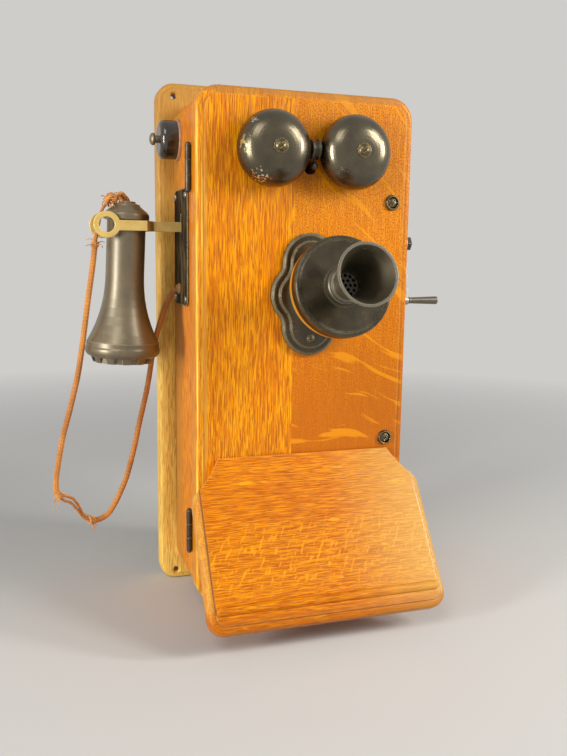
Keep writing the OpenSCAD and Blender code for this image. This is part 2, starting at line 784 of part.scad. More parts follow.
// Outline of the fork and its stem, seen from above
module fork_plan() {
    translate([bend_x, -strip_t / 2]) square([hook_pivot_x - hub_d / 3 - bend_x, strip_t]);
    for (s = [-1, 1]) {
        polygon([
            [bend_x + strip_t, s * strip_t / 2],
            [bend_x - bend_run, s * (fork_gap / 2 + strip_t)],
            [bend_x - bend_run - strip_t, s * (fork_gap / 2 + strip_t)],
            [bend_x - bend_run, s * fork_gap / 2],
            [bend_x, -s * strip_t / 2]
        ]);
        translate([ring_x, s * fork_mid - strip_t / 2]) square([bend_x - bend_run - ring_x, strip_t]);
    }
}

// Brass hook: a fork with ringed tines, its stem, and the hub and tail inside the case
module hook_lever() color("khaki") difference() {
    union() {
        translate([0, -hook_depth, hook_z - strip_h / 2]) linear_extrude(strip_h) fork_plan();
        for (s = [-1, 1]) front(hook_depth + s * fork_mid - strip_t / 2)
            translate([ring_x, hook_z + ring_lift, 0]) cylinder(d = ring_d, h = strip_t);
        front(hook_depth - hub_w / 2) translate([hook_pivot_x, hook_z, 0]) cylinder(d = hub_d, h = hub_w);
        translate([hook_pivot_x, -hook_depth - strip_t / 2, hook_z - hub_d / 4])
            cube([18, strip_t, hub_d / 2]);
    }
    for (s = [-1, 1]) front(hook_depth + s * fork_mid - strip_t)
        translate([ring_x, hook_z + ring_lift, 0]) cylinder(d = ring_hole_d, h = 2 * strip_t);
    front(hook_depth - hub_w) translate([hook_pivot_x, hook_z, 0])
        cylinder(r = hook_pin_d / 2 + run_gap, h = 2 * hub_w);
}

// Push button on the left side: wooden ring, turned housing and brass button
module button_base() color("rosybrown") to_left(case_left) translate([button_depth, button_z, 0])
    difference() {
        cylinder(d = housing_d + 2, h = base_ring_t);
        translate([0, 0, -1]) cylinder(d = button_d, h = base_ring_t + 2);
    }

module button_housing() color("black") to_left(case_left - base_ring_t) translate([button_depth, button_z, 0])
    rotate_extrude() polygon(concat(
        [[button_bore + button_stop, 0], [housing_d / 2, 0]],
        [for (a = [0:10:90]) [
            housing_d / 2 - housing_edge * (1 - cos(a)), housing_h - housing_edge * (1 - sin(a))
        ]],
        [[button_bore, housing_h], [button_bore, button_shoulder],
         [button_bore + button_stop, button_shoulder]]
    ));

module push_button() color("gold") to_left(case_left - base_ring_t) translate([button_depth, button_z, 0])
    rotate_extrude() polygon(concat(
        [[0, button_shoulder - 2.4], [button_bore + button_stop - free_gap, button_shoulder - 2.4],
         [button_bore + button_stop - free_gap, button_shoulder - free_gap],
         [button_neck_d / 2, button_shoulder - free_gap],
         [button_neck_d / 2, housing_h + button_out - button_t],
         [button_d / 2 - 0.5, housing_h + button_out - button_t]],
        [for (a = [0:15:90]) [
            button_d / 2 * cos(a), housing_h + button_out - button_t * 0.7 * (1 - sin(a))
        ]]
    ));

// Bushing on the hook plate where the cord comes out
module cord_bushing() color("sienna") to_left(case_left - plate_t) translate([cord_depth, cord_z, 0])
    rotate_extrude() polygon([
        [0, -plate_t - 4], [cord_d / 2 + 0.4, -plate_t - 4], [cord_d / 2 + 0.4, 0], [bush_cord_d / 2 + 1, 0],
        [bush_cord_d / 2 + 1, 1], [bush_cord_d / 2, 1.6], [cord_d / 2 + 0.6, bush_len], [0, bush_len]
    ]);

// Smooth curve through the cord's points
function spline(a, b, c, d, t) = 0.5 * (2 * b + (c - a) * t + (2 * a - 5 * b + 4 * c - d) * t * t
    + (3 * b - a - 3 * c + d) * t * t * t);
function clamped(list, i) = list[max(0, min(len(list) - 1, i))];
cord_points = [for (i = [0:len(cord_route) - 2], k = [0:cord_steps - 1]) spline(
    clamped(cord_route, i - 1), cord_route[i], cord_route[i + 1], clamped(cord_route, i + 2), k / cord_steps
), cord_route[len(cord_route) - 1]];
function unit(v) = v / norm(v);
function along(i) = unit(clamped(cord_points, i + 1) - clamped(cord_points, i - 1));
// The route lies close to the XZ plane, so the ring's first direction leans from Y
function ring_a(t) = unit([0, 1, 0] - t * t[1]);
function cord_ring(i) = let (t = along(i), a = ring_a(t), b = cross(t, a)) [
    for (k = [0:cord_sides - 1]) let (w = 360 * k / cord_sides)
        cord_points[i] + cord_d / 2 * (cos(w) * a + sin(w) * b)
];

module receiver_cord() color("peru") {
    n = cord_sides;
    rings = len(cord_points);
    polyhedron(
        points = [for (i = [0:rings - 1]) each cord_ring(i)],
        faces = concat(
            [[for (k = [0:n - 1]) k]],
            [for (i = [0:rings - 2], k = [0:n - 1], h = [0, 1]) let (m = (k + 1) % n) h == 0
                ? [i * n + k, (i + 1) * n + k, (i + 1) * n + m] : [i * n + k, (i + 1) * n + m, i * n + m]],
            [[for (k = [0:n - 1]) rings * n - 1 - k]]
        )
    );
}

// Places children with z along the receiver's axis, up from the underside of its head
module on_receiver() translate([receiver_x, -hook_depth, receiver_z])
    rotate([0, receiver_lean, 0]) children();

function flare(t) = barrel_r + (flare_r - barrel_r) * pow(t, flare_power);

module receiver_shell() color("dimgray") on_receiver() difference() {
    rotate_extrude() polygon(concat(
        [[0, head_h], [head_r * 0.36, head_h], [head_r * 0.4, head_h - 1.6], [head_r * 0.56, head_h - 2.4],
         [head_r * 0.6, head_h - 4], [head_r * 0.9, head_h * 0.46]],
        [for (a = [60:-20:0]) [head_r - 2.6 + 2.6 * cos(a), head_h * 0.24 + 3 * sin(a)]],
        [[head_r, 0.6], [head_r - 0.6, 0], [barrel_r, 0], [barrel_r, -flare_from]],
        [for (k = [1:8]) [flare(k / 8), -flare_from - flare_run * k / 8]],
        [[flare_r - shell_wall, -shell_l]],
        [for (k = [7:-1:1]) [flare(k / 8) - shell_wall, -flare_from - flare_run * k / 8]],
        [[barrel_r - shell_wall, -flare_from], [barrel_r - shell_wall, -4], [0, -4]]
    ));
    translate([0, 0, -5]) cylinder(d = cord_bore_d, h = head_h + 6);
}

// Screwed cap with a dished face, a listening hole and grip notches
module receiver_ear_cap() color("dimgray") on_receiver() difference() {
    low = -shell_l - ear_h;
    rotate_extrude() polygon(concat(
        [[flare_r - shell_wall, -shell_l], [flare_r + 0.4, -shell_l]],
        [for (a = [30:-15:-75]) [ear_r - 7 + 7 * cos(a), -shell_l - 7 + 6.5 * sin(a)]],
        [[ear_r * 0.78, low], [ear_r * 0.7, low], [ear_hole_d / 2 + 4, low + 5], [ear_hole_d / 2, low + 5.5],
         [ear_hole_d / 2, low + 8], [flare_r - shell_wall, low + 8]]
    ));
    for (k = [0:notches - 1]) rotate(360 * (k + 0.5) / notches)
        translate([ear_r * 0.74, -notch_w / 2, low - 1]) cube([ear_r * 0.3, notch_w, notch_h + 1]);
}

module receiver_diaphragm() color("silver") on_receiver()
    translate([0, 0, 8 - shell_l - ear_h]) cylinder(r = flare_r - shell_wall - seat_gap, h = 0.8);

// Bar magnet with its two pole coils, held up in the shell's barrel
module receiver_magnet() color("gray") on_receiver() {
    coil_top = 14 - shell_l;
    translate([-7, -4, coil_top]) cube([14, 8, shell_l - 14 - 4]);
    for (s = [-1, 1]) translate([s * 6, 0, coil_top - 12]) cylinder(d = 10, h = 12);
}

// Crank and generator
module crank_bushing() color("gold") to_right(case_in) translate([crank_depth, crank_z, 0]) difference() {
    union() {
        translate([0, 0, -2]) cylinder(d = bush_d - 2 * seat_gap, h = case_wall + 2);
        translate([0, 0, case_wall]) cylinder(d = bush_d + 8, h = 3);
    }
    translate([0, 0, -3]) cylinder(r = shaft_d / 2 + run_gap, h = case_wall + 8);
}

module crank_shaft() color("silver") to_right(gen_left - end_t - 2) translate([crank_depth, crank_z, 0])
    cylinder(d = shaft_d, h = arm_x + arm_t + 4 - (gen_left - end_t - 2));

// Flat arm with a hub on the shaft and an eye for the grip's axle
module crank_arm() color("silver") difference() {
    along_arm = [grip_pos[0] - crank_depth, grip_pos[1] - crank_z] / crank_r;
    across = [-along_arm[1], along_arm[0]];
    hub = [crank_depth, crank_z];
    union() {
        to_right(arm_x) linear_extrude(arm_t) polygon([
            hub + across * 5.5, grip_pos + across * arm_end_d * 0.42,
            grip_pos - across * arm_end_d * 0.42, hub - across * 5.5
        ]);
        to_right(arm_x - 4) translate(hub) cylinder(d = arm_hub_d, h = arm_t + 4);
        to_right(arm_x) translate(grip_pos) cylinder(d = arm_end_d, h = arm_t + grip_off);
        to_right(arm_x + arm_t) translate(grip_pos) {
            cylinder(d = axle_d, h = axle_l + axle_head_t / 2);
            translate([0, 0, axle_l]) cylinder(d = axle_head_d, h = axle_head_t);
        }
    }
    to_right(arm_x - 5) translate(hub) cylinder(r = shaft_d / 2 + seat_gap / 2, h = arm_t + 6);
}

module crank_nut() color("silver") to_right(arm_x + arm_t) translate([crank_depth, crank_z, 0]) difference() {
    cylinder(d = shaft_d + 6, h = 5, $fn = 6);
    translate([0, 0, -1]) cylinder(r = shaft_d / 2 + seat_gap / 2, h = 7);
}

// Turned grip, fatter at its outer end, that spins on the arm's axle; the axle's head is sunk in its end
module crank_grip() color("black") to_right(arm_x + arm_t + grip_off + free_gap) translate(grip_pos)
    rotate_extrude() polygon(concat(
        [[axle_d / 2 + run_gap, 0], [grip_d * 0.36, 0], [grip_d * 0.4, 0.8], [grip_d * 0.38, 3]],
        [for (a = [0:15:90]) [grip_d / 2 - 0.8 * (1 - cos(a)), grip_l - 0.8 * (1 - sin(a))]],
        [[axle_head_d / 2 + 0.3, grip_l], [axle_head_d / 2 + 0.3, grip_l - axle_sink],
         [axle_d / 2 + run_gap, grip_l - axle_sink]]
    ));

// Gear outline: each tooth rises from the root, narrows to its tip and falls again
function tooth_at(r, w) = r * [cos(w), sin(w)];
function gear_points(teeth, turn) = let (p = teeth * gear_m / 2, s = 360 / teeth) [
    for (k = [0:teeth - 1]) let (c = k * s + turn) each [
        tooth_at(p - gear_root * gear_m, c - tooth_share[0] * s),
        tooth_at(p, c - tooth_share[1] * s),
        tooth_at(p + gear_tip * gear_m, c - tooth_share[2] * s),
        tooth_at(p + gear_tip * gear_m, c + tooth_share[2] * s),
        tooth_at(p, c + tooth_share[1] * s),
        tooth_at(p - gear_root * gear_m, c + tooth_share[0] * s)
    ]
];

// Big gear on the crank shaft, lightened by round windows
module drive_gear() color("gold") to_right(gear_x) translate([crank_depth, crank_z, 0])
    linear_extrude(gear_w) difference() {
        pitch_d = gear_teeth * gear_m;
        polygon(gear_points(gear_teeth, -90));
        circle(shaft_d / 2 + seat_gap / 2);
        for (k = [0:4]) rotate(72 * k) translate([pitch_d * 0.31, 0]) circle(pitch_d * 0.09);
    }

module pinion() color("silver") to_right(gear_x) translate([crank_depth, armature_z, 0])
    linear_extrude(gear_w) difference() {
        polygon(gear_points(pinion_teeth, 90 + 180 / pinion_teeth));
        circle(armature_shaft_d / 2 + seat_gap / 2);
    }

// Shuttle armature with its two winding slots, on its own shaft
module armature() color("brown") {
    to_right(gen_left - end_t - 2) translate([crank_depth, armature_z, 0])
        cylinder(d = armature_shaft_d, h = gear_x + gear_w + 2 - (gen_left - end_t - 2));
    to_right(gen_left + 2) translate([crank_depth, armature_z, 0]) linear_extrude(gen_l - 4) difference() {
        circle(d = armature_d);
        for (s = [-1, 1]) translate([0, s * armature_d * 0.36])
            square([armature_d * 0.42, armature_d * 0.34], center = true);
    }
}

// Iron cheeks that carry the field to the armature
module pole_pieces() color("dimgray") to_right(gen_left) translate([crank_depth, 0, 0])
    linear_extrude(gen_l) difference() {
        translate([-pole_w / 2, pole_low]) square([pole_w, pole_high - pole_low]);
        translate([0, armature_z]) circle(armature_d / 2 + free_gap);
        translate([-pole_slot / 2, pole_low - 1]) square([pole_slot, pole_high - pole_low + 2]);
    }

// Row of horseshoe magnets over the pole pieces
module generator_magnets() color("maroon") for (k = [0:magnets - 1])
    to_right(gen_left + 2 + k * (magnet_w + magnet_gap)) translate([crank_depth, 0, 0])
        linear_extrude(magnet_w) difference() {
            union() {
                translate([0, crank_z]) circle(magnet_out);
                translate([-magnet_out, pole_low]) square([2 * magnet_out, crank_z - pole_low]);
            }
            translate([0, crank_z]) circle(pole_w / 2);
            translate([-pole_w / 2, pole_low - 1]) square([pole_w, crank_z - pole_low + 1]);
        }

// Brass end plates with the bearings of both shafts
module generator_end_plates() color("gold") for (x = [gen_left - end_t, gen_x])
    to_right(x) difference() {
        translate([crank_depth, (pole_low + end_high) / 2, 0])
            linear_extrude(end_t) rounded_rect(pole_w, end_high - pole_low, 6);
        translate([crank_depth, crank_z, -1]) cylinder(r = shaft_d / 2 + run_gap, h = end_t + 2);
        translate([crank_depth, armature_z, -1]) cylinder(r = armature_shaft_d / 2 + run_gap, h = end_t + 2);
    }

// Wooden block that carries the generator on the back board
module generator_base() color("peru") front(board_t)
    translate([gen_left + gen_l / 2, (gen_base_low + gen_base_high) / 2, 0])
        linear_extrude(gen_base_t)
            rounded_rect(gen_l + 2 * gen_margin, gen_base_high - gen_base_low, 5);

module induction_coil() color("firebrick") to_right(ind_x - ind_l / 2)
    translate([board_t + cheek / 2, ind_z, 0]) {
    translate([0, 0, 2]) cylinder(d = ind_d, h = ind_l - 4);
    for (z = [-3, ind_l - 3]) translate([0, 0, z]) linear_extrude(6) rounded_rect(cheek, cheek, 3);
}

module condenser() color("silver") front(board_t) translate([cond_x, cond_z, 0]) {
    linear_extrude(cond_d) rounded_rect(cond_w, cond_h, 3);
    for (s = [-1, 1]) translate([s * cond_w / 4, cond_h / 2 - 6, cond_d]) cylinder(d = 5, h = 4);
}

module terminal_strip() color("peru") front(board_t) translate([0, strip_z, 0])
    linear_extrude(strip_d) rounded_rect(strip_l, strip_w, 3);

module terminal_screws() color("gold") for (k = [0:posts - 1])
    front(board_t + strip_d) translate([(k - (posts - 1) / 2) * strip_l / posts, strip_z, 0]) {
        cylinder(d = 10, h = 1);
        translate([0, 0, 1]) cylinder(d = 4, h = 9);
        translate([0, 0, 3]) cylinder(d = 9, h = 4);
    }

// Door: a moulded board with room for the hinges, the clapper rod and its screws
module door_panel() color("orange") difference() {
    front(door_back) rounded_board(door_w, door_h, door_t, door_r, door_edge, door_border, door_step);
    hinge_room(door_leaf_y);
    front(door_back - 1) translate([bell_x, slot_z, 0])
        linear_extrude(door_t + 2) rounded_rect(slot_w, slot_h, 4);
    for (z = lock_heights) front(door_back - 1) translate([lock_x, z, 0])
        cylinder(r = lock_d / 2 + seat_gap, h = door_t + 2);
    for (s = [-1, 1]) front(door_front - base_screw_l) translate([fit_x, base_z + s * base_screw_z, 0])
        cylinder(r = base_screw_d / 2 + seat_gap, h = base_screw_l + 1);
}

// Slotted screws that close the door, each in its cup washer
module door_screws() color("gold") for (z = lock_heights)
    front(door_front) translate([lock_x, z, 0]) {
        rotate_extrude() polygon([
            [lock_d / 2 + seat_gap, 0], [washer_d / 2, 0], [washer_d / 2 - 0.5, 0.9],
            [lock_head_d / 2 + 1, lock_cup], [lock_head_d / 2 + seat_gap, lock_cup],
            [lock_head_d / 2 + seat_gap, cup_floor], [lock_d / 2 + seat_gap, cup_floor]
        ]);
        translate([0, 0, cup_floor]) rotate(60)
            round_screw(lock_d, cup_floor + door_t + door_gap + lock_reach, lock_head_d, lock_cup);
    }

// Places children with x across, y up the slope and z out of the shelf's writing face
module on_shelf() translate([0, -shelf_depth, shelf_top_z]) rotate([90 - shelf_slope, 0, 0]) children();

// Sloping writing board with scooped upper corners, cut to lie against the door
module shelf_board() color("darkorange") difference() {
    over = 2 * shelf_r + 4;
    on_shelf() difference() {
        translate([0, (over - shelf_l) / 2, -shelf_t])
            rounded_board(shelf_w, shelf_l + over, shelf_t, shelf_r, shelf_edge, shelf_border, shelf_step);
        translate([-shelf_w, 0, -shelf_t - 1]) cube([2 * shelf_w, over + 1, shelf_t + 2]);
        for (s = [-1, 1]) translate([s * scoop_at[0], scoop_at[1], -shelf_t - 1])
            cylinder(r = scoop_r, h = shelf_t + 2);
    }
    translate([-shelf_w, -door_front, shelf_top_z - shelf_l]) cube([2 * shelf_w, shelf_l, 2 * shelf_l]);
}

// Half-round pencil ledge with round ends
module shelf_ledge() color("orange") on_shelf() translate([0, ledge_up - shelf_l, 0]) intersection() {
    union() {
        rotate([0, 90, 0]) cylinder(d = ledge_w, h = ledge_l - ledge_w, center = true);
        for (s = [-1, 1]) translate([s * (ledge_l - ledge_w) / 2, 0, 0]) sphere(d = ledge_w);
    }
    translate([-ledge_l / 2 - 1, -ledge_w, 0]) cube([ledge_l + 2, 2 * ledge_w, ledge_w]);
}

// Depth and height of the shelf's underside at a distance down its slope
function under_shelf(s) = [
    shelf_depth + s * sin(shelf_slope) - shelf_t * cos(shelf_slope),
    shelf_top_z - s * cos(shelf_slope) - shelf_t * sin(shelf_slope)
];

// Wooden brackets between the shelf and the door, with a curved lower edge
module shelf_brackets() color("chocolate") for (s = [-1, 1]) to_right(s * bracket_dx / 2 - bracket_t / 2)
    linear_extrude(bracket_t) difference() {
        tip = under_shelf(shelf_l * bracket_share);
        top = under_shelf(shelf_meets_door);
        polygon([top, tip, tip - [3, 7], [door_front + 12, tip[1] - 12], [door_front, tip[1] - 12]]);
        translate([tip[0] - bracket_cove / 5, tip[1] - bracket_cove - 4]) circle(bracket_cove);
    }

function bowl(r, h, flat, power) = [
    for (a = [0:6:90]) [flat + (r - flat) * pow(cos(a), 2 / power), h * pow(sin(a), 2 / power)]
];
function reversed(list) = [for (i = [len(list) - 1:-1:0]) list[i]];

module gong_places() for (s = [-1, 1]) translate([bell_x + s * gong_dx / 2, 0, gong_z]) children();

// Pair of bowl gongs, open towards the door
module gongs() color("black") gong_places() front(gong_rim) rotate_extrude() polygon(concat(
    bowl(gong_d / 2, gong_h, gong_flat, gong_power),
    [[gong_screw_d / 2 + seat_gap, gong_h], [gong_screw_d / 2 + seat_gap, gong_h - gong_t]],
    reversed(bowl(gong_d / 2 - gong_t, gong_h - gong_t, gong_flat, gong_power))
));

module gong_posts() color("gray") gong_places() front(door_front) difference() {
    post_l = gong_apex - gong_t - door_front;
    union() {
        cylinder(d = post_d, h = post_l);
        cylinder(d = post_d + 6, h = 2);
    }
    translate([0, 0, post_l - gong_screw_l]) cylinder(r = gong_screw_d / 2 + seat_gap, h = gong_screw_l + 1);
}

module gong_screws() color("gold") gong_places() front(gong_apex) {
    difference() {
        cylinder(d = gong_head_d + 2.5, h = gong_washer_t);
        translate([0, 0, -1]) cylinder(r = gong_screw_d / 2 + seat_gap, h = 3);
    }
    translate([0, 0, gong_washer_t]) rotate(50)
        round_screw(gong_screw_d, gong_washer_t + gong_t + gong_screw_l - 1, gong_head_d, 2.4);
}

// Ringer on the door's inside: base plate, heel iron with both cores, and the clapper's ear
module ringer_frame() color("dimgray") difference() {
    plate_back = door_back - frame_t;
    union() {
        front(plate_back) translate([bell_x, (foot_z + heel_z + heel_t) / 2, 0])
            linear_extrude(frame_t) rounded_rect(frame_w, heel_z + heel_t - foot_z, 4);
        translate([bell_x - heel_w / 2, -plate_back, heel_z])
            cube([heel_w, plate_back - coil_d_wall + core_d, heel_t]);
        for (s = [-1, 1]) translate([bell_x + s * coil_dx / 2, -coil_d_wall, core_end_z])
            cylinder(d = core_d, h = heel_z - core_end_z + 1);
        translate([bell_x - bar_w / 2, -plate_back, foot_z]) cube([bar_w, plate_back - bar_back, 4]);
        translate([bell_x - bar_w / 2, -bar_back - ear_t, foot_z])
            cube([bar_w, ear_t, pivot_z_clapper + 5 - foot_z]);
    }
    front(bar_back - 1) translate([bell_x, pivot_z_clapper, 0])
        cylinder(r = clapper_pin_d / 2 + seat_gap / 2, h = door_back - bar_back + 2);
    front(plate_back - 1) translate([bell_x, slot_z, 0])
        linear_extrude(frame_t + 2) rounded_rect(slot_w, slot_h, 4);
}

module ringer_coils() color("darkgreen") for (s = [-1, 1])
    translate([bell_x + s * coil_dx / 2, -coil_d_wall, coil_low_z]) difference() {
        union() {
            cylinder(d = coil_d - 2, h = coil_l);
            for (z = [0, coil_l - 2]) translate([0, 0, z]) cylinder(d = coil_d, h = 2);
        }
        translate([0, 0, -1]) cylinder(r = core_d / 2 + seat_gap, h = coil_l + 2);
    }

// Bent bar magnet from the heel iron round to the clapper's foot
module ringer_magnet() color("maroon") to_right(bell_x - bar_w / 2) linear_extrude(bar_w) {
    back = bar_back - bar_t;
    top = heel_z + heel_t;
    translate([back, foot_z - bar_t]) square([bar_t, top + 2 * bar_t - foot_z]);
    translate([back, top]) square([coil_d_wall + 4 - back, bar_t]);
    translate([back, foot_z - bar_t]) square([bar_t + 14, bar_t]);
}

module clapper_pivot_pin() color("silver") front(bar_back + 0.2)
    translate([bell_x, pivot_z_clapper, 0])
        cylinder(d = clapper_pin_d, h = door_back - bar_back - 0.4);

// Iron armature that rocks under the cores
module clapper_armature() color("gray") difference() {
    hub_back = bar_back + ear_t + free_gap;
    bar_l = coil_dx + core_d + 6;
    union() {
        translate([
            bell_x - bar_l / 2, -coil_d_wall - armature_bar_w / 2, pivot_z_clapper - armature_bar_t / 2
        ]) cube([bar_l, armature_bar_w, armature_bar_t]);
        front(hub_back) translate([bell_x, pivot_z_clapper, 0])
            cylinder(d = clapper_hub_d, h = door_back - frame_t - free_gap - hub_back);
    }
    front(bar_back) translate([bell_x, pivot_z_clapper, 0])
        cylinder(r = clapper_pin_d / 2 + run_gap, h = door_back - bar_back);
    translate([bell_x, -rod_depth, pivot_z_clapper + rod_seat])
        cylinder(r = rod_d / 2 + seat_gap, h = clapper_hub_d);
}

// Bent rod that comes out through the door, with its ball and the spool that strikes the gongs
module clapper_rod() color("black") {
    translate([bell_x, -rod_depth, pivot_z_clapper + rod_seat])
        cylinder(d = rod_d, h = slot_z - pivot_z_clapper - rod_seat);
    translate([bell_x, -rod_depth, slot_z]) sphere(d = rod_d);
    front(rod_depth) translate([bell_x, slot_z, 0]) cylinder(d = rod_d, h = gong_rim - rod_depth);
    translate([bell_x, -gong_rim, slot_z]) sphere(d = ball_d);
    translate([bell_x, -gong_rim, slot_z]) cylinder(d = rod_d, h = striker_z - slot_z);
    to_right(bell_x - striker_l / 2) translate([gong_rim, striker_z, 0]) {
        cylinder(d = striker_d - 3, h = striker_l);
        for (z = [0, striker_l - flange_t]) translate([0, 0, z]) cylinder(d = striker_d, h = flange_t);
    }
}

// One quarter of the base's outline, drawn in by an inset: side lobe, hollow, upper lobe
function base_quarter(inset) = concat(
    [for (k = [0:6]) let (w = side_turn * k / 6)
        side_at + (base_side_r - inset) * [cos(w), sin(w)]],
    [for (k = [1:5]) let (w = 180 + side_turn + (lobe_turn - side_turn) * k / 6)
        waist_at + (base_waist_r + inset) * [cos(w), sin(w)]],
    [for (k = [0:14]) let (w = lobe_turn + (90 - lobe_turn) * k / 14)
        lobe_at + (base_lobe_r - inset) * [cos(w), sin(w)]]
);

module base_outline(inset) {
    quarter = base_quarter(inset);
    last = len(quarter) - 1;
    polygon(concat(
        [for (i = [0:last - 1]) quarter[i]],
        [for (i = [last:-1:1]) [-quarter[i][0], quarter[i][1]]],
        [for (i = [0:last - 1]) -quarter[i]],
        [for (i = [last:-1:1]) [quarter[i][0], -quarter[i][1]]]
    ));
}

// Cast base with stepped edges, a coved pedestal and the two pivot lugs
module transmitter_base() color("black") difference() {
    union() {
        front(door_front) translate([fit_x, base_z, 0]) {
            linear_extrude(base_layer[0]) base_outline(base_inset[0]);
            linear_extrude(base_layer[0] + base_layer[1]) base_outline(base_inset[1]);
            linear_extrude(base_top) base_outline(base_inset[2]);
            rotate_extrude() polygon(concat(
                [[0, base_top - 1], [pedestal_r, base_top - 1]],
                [for (a = [0:15:90]) [
                    pedestal_r - (pedestal_r - pedestal_top_r) * sin(a),
                    base_top + (pedestal_h - base_top) * (1 - cos(a))
                ]],
                [[0, pedestal_h]]
            ));
        }
        for (s = [-1, 1]) to_right(fit_x + s * (lug_gap + lug_t) / 2 - lug_t / 2) linear_extrude(lug_t) {
            translate([pivot_depth, axis_z]) circle(lug_r);
            translate([door_front + base_top, axis_z - lug_r]) square([pivot_off - base_top, 2 * lug_r]);
        }
    }
    to_right(fit_x - lug_gap) translate([pivot_depth, axis_z, 0])
        cylinder(r = pivot_d / 2 + seat_gap / 2, h = 2 * lug_gap);
    for (s = [-1, 1]) front(door_front - 1) translate([fit_x, base_z + s * base_screw_z, 0])
        cylinder(r = base_screw_d / 2 + seat_gap, h = base_top + 2);
}

module transmitter_base_screws() color("gray") for (s = [-1, 1])
    front(door_front + base_top) translate([fit_x, base_z + s * base_screw_z, 0]) rotate(35)
        round_screw(base_screw_d, base_top + base_screw_l - 1, 2 * base_screw_d, 2.2);

module transmitter_pivot_screw() color("gray") to_right(fit_x - lug_gap / 2 - lug_t)
    translate([pivot_depth, axis_z, 0]) {
        cylinder(d = pivot_d, h = lug_gap + 2 * lug_t);
        translate([0, 0, lug_gap + 2 * lug_t]) cylinder(d = 2 * pivot_d, h = 3);
        translate([0, 0, -3]) cylinder(d = 1.8 * pivot_d, h = 3, $fn = 6);
    }

// Places children with z along the transmitter's axis, forward from the tilt pivot, and y up
module on_transmitter() translate([fit_x, -pivot_depth, axis_z])
    rotate([-tilt, 0, 0]) rotate([90, 0, 0]) children();

// Brass cup with the knuckle that turns between the lugs
module transmitter_cup() color("gold") on_transmitter() difference() {
    union() {
        rotate([0, 90, 0]) cylinder(r = lug_r - 0.5, h = stem_w, center = true);
        cylinder(d = stem_d, h = cup_back + cup_wall);
        translate([0, 0, cup_front]) mirror([0, 0, 1]) rotate_extrude() polygon(concat(
            bowl(face_r, cup_depth, cup_flat, cup_power), [[0, cup_depth], [0, cup_depth - cup_wall]],
            reversed(bowl(face_r - cup_wall, cup_depth - cup_wall, cup_flat, cup_power))
        ));
    }
    rotate([0, 90, 0]) cylinder(r = pivot_d / 2 + run_gap, h = 2 * lug_gap, center = true);
}

// Black front casting with a beaded rim
module transmitter_face() color("black") on_transmitter() rotate_extrude() polygon(concat(
    [[face_hole_r, face_inner], [face_r - 5, face_inner], [face_r - 5, cup_front], [face_r, cup_front]],
    [for (a = [0:30:90]) [face_r - 1.6 * (1 - cos(a)), face_f - 1.6 * (1 - sin(a))]],
    [[face_r - 3, face_f], [face_r - 4.2, face_low], [collar_r + 2, face_low], [collar_r + 1, face_seat],
     [face_hole_r, face_seat]]
));

function horn(t) = throat_r + (mouth_r - throat_r) * pow(t, horn_power);

// Turned mouthpiece: threaded neck, stepped collar, pierced grille and flaring horn
module mouthpiece() color("black") on_transmitter() difference() {
    rotate_extrude() polygon(concat(
        [[0, grille_low], [neck_r, grille_low], [neck_r, face_inner], [face_hole_r - seat_gap, face_inner],
         [face_hole_r - seat_gap, face_seat], [collar_r, face_seat], [collar_r, face_seat + 3.4],
         [collar_r - 0.8, face_seat + 4.2], [collar_r - 1.2, face_seat + 6.4],
         [throat_r + 0.4, face_seat + 7]],
        [for (k = [0:12]) [horn(k / 12), horn_from + horn_run * k / 12]],
        [for (k = [12:-1:0]) [horn(k / 12) - mouth_wall, horn_from + horn_run * k / 12]],
        [[throat_r - mouth_wall, grille_low + grille_t], [0, grille_low + grille_t]]
    ));
    for (ring = grille_rings, k = [0:ring[1] - 1]) rotate(360 * k / ring[1])
        translate([ring[0], 0, grille_low - 1]) cylinder(d = grille_hole_d, h = grille_t + 2);
    translate([0, 0, face_f + mouth_l - rim_hole_in]) rotate([-90, 0, 0])
        cylinder(d = rim_hole_d, h = mouth_r + 1);
}

back_board();
case_left_side();
case_right_side();
case_top();
case_bottom();
closing_blocks();
hinge_case_leaves();
hinge_door_leaves();
hinge_pins();
hook_plate();
hook_plate_screws();
hook_bracket();
hook_pivot_pin();
hook_lever();
switch_springs();
button_base();
button_housing();
push_button();
cord_bushing();
receiver_cord();
receiver_shell();
receiver_ear_cap();
receiver_diaphragm();
receiver_magnet();
crank_bushing();
crank_shaft();
crank_arm();
crank_nut();
crank_grip();
drive_gear();
pinion();
armature();
pole_pieces();
generator_magnets();
generator_end_plates();
generator_base();
induction_coil();
condenser();
terminal_strip();
terminal_screws();
door_panel();
door_screws();
shelf_board();
shelf_ledge();
shelf_brackets();
gongs();
gong_posts();
gong_screws();
ringer_frame();
ringer_coils();
ringer_magnet();
clapper_pivot_pin();
clapper_armature();
clapper_rod();
transmitter_base();
transmitter_base_screws();
transmitter_pivot_screw();
transmitter_cup();
transmitter_face();
mouthpiece();
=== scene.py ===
# %% [markdown]
# A wooden wall telephone with a hand crank.
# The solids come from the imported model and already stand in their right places, in metres.
# They could be modelled again here, but then the two models would drift apart,
# so each solid only gets a finish.
# The receiver's cord is the one soft piece, so it is made anew.

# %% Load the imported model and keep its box
import bmesh
import bpy
import math
import random
from mathutils import Matrix, Vector


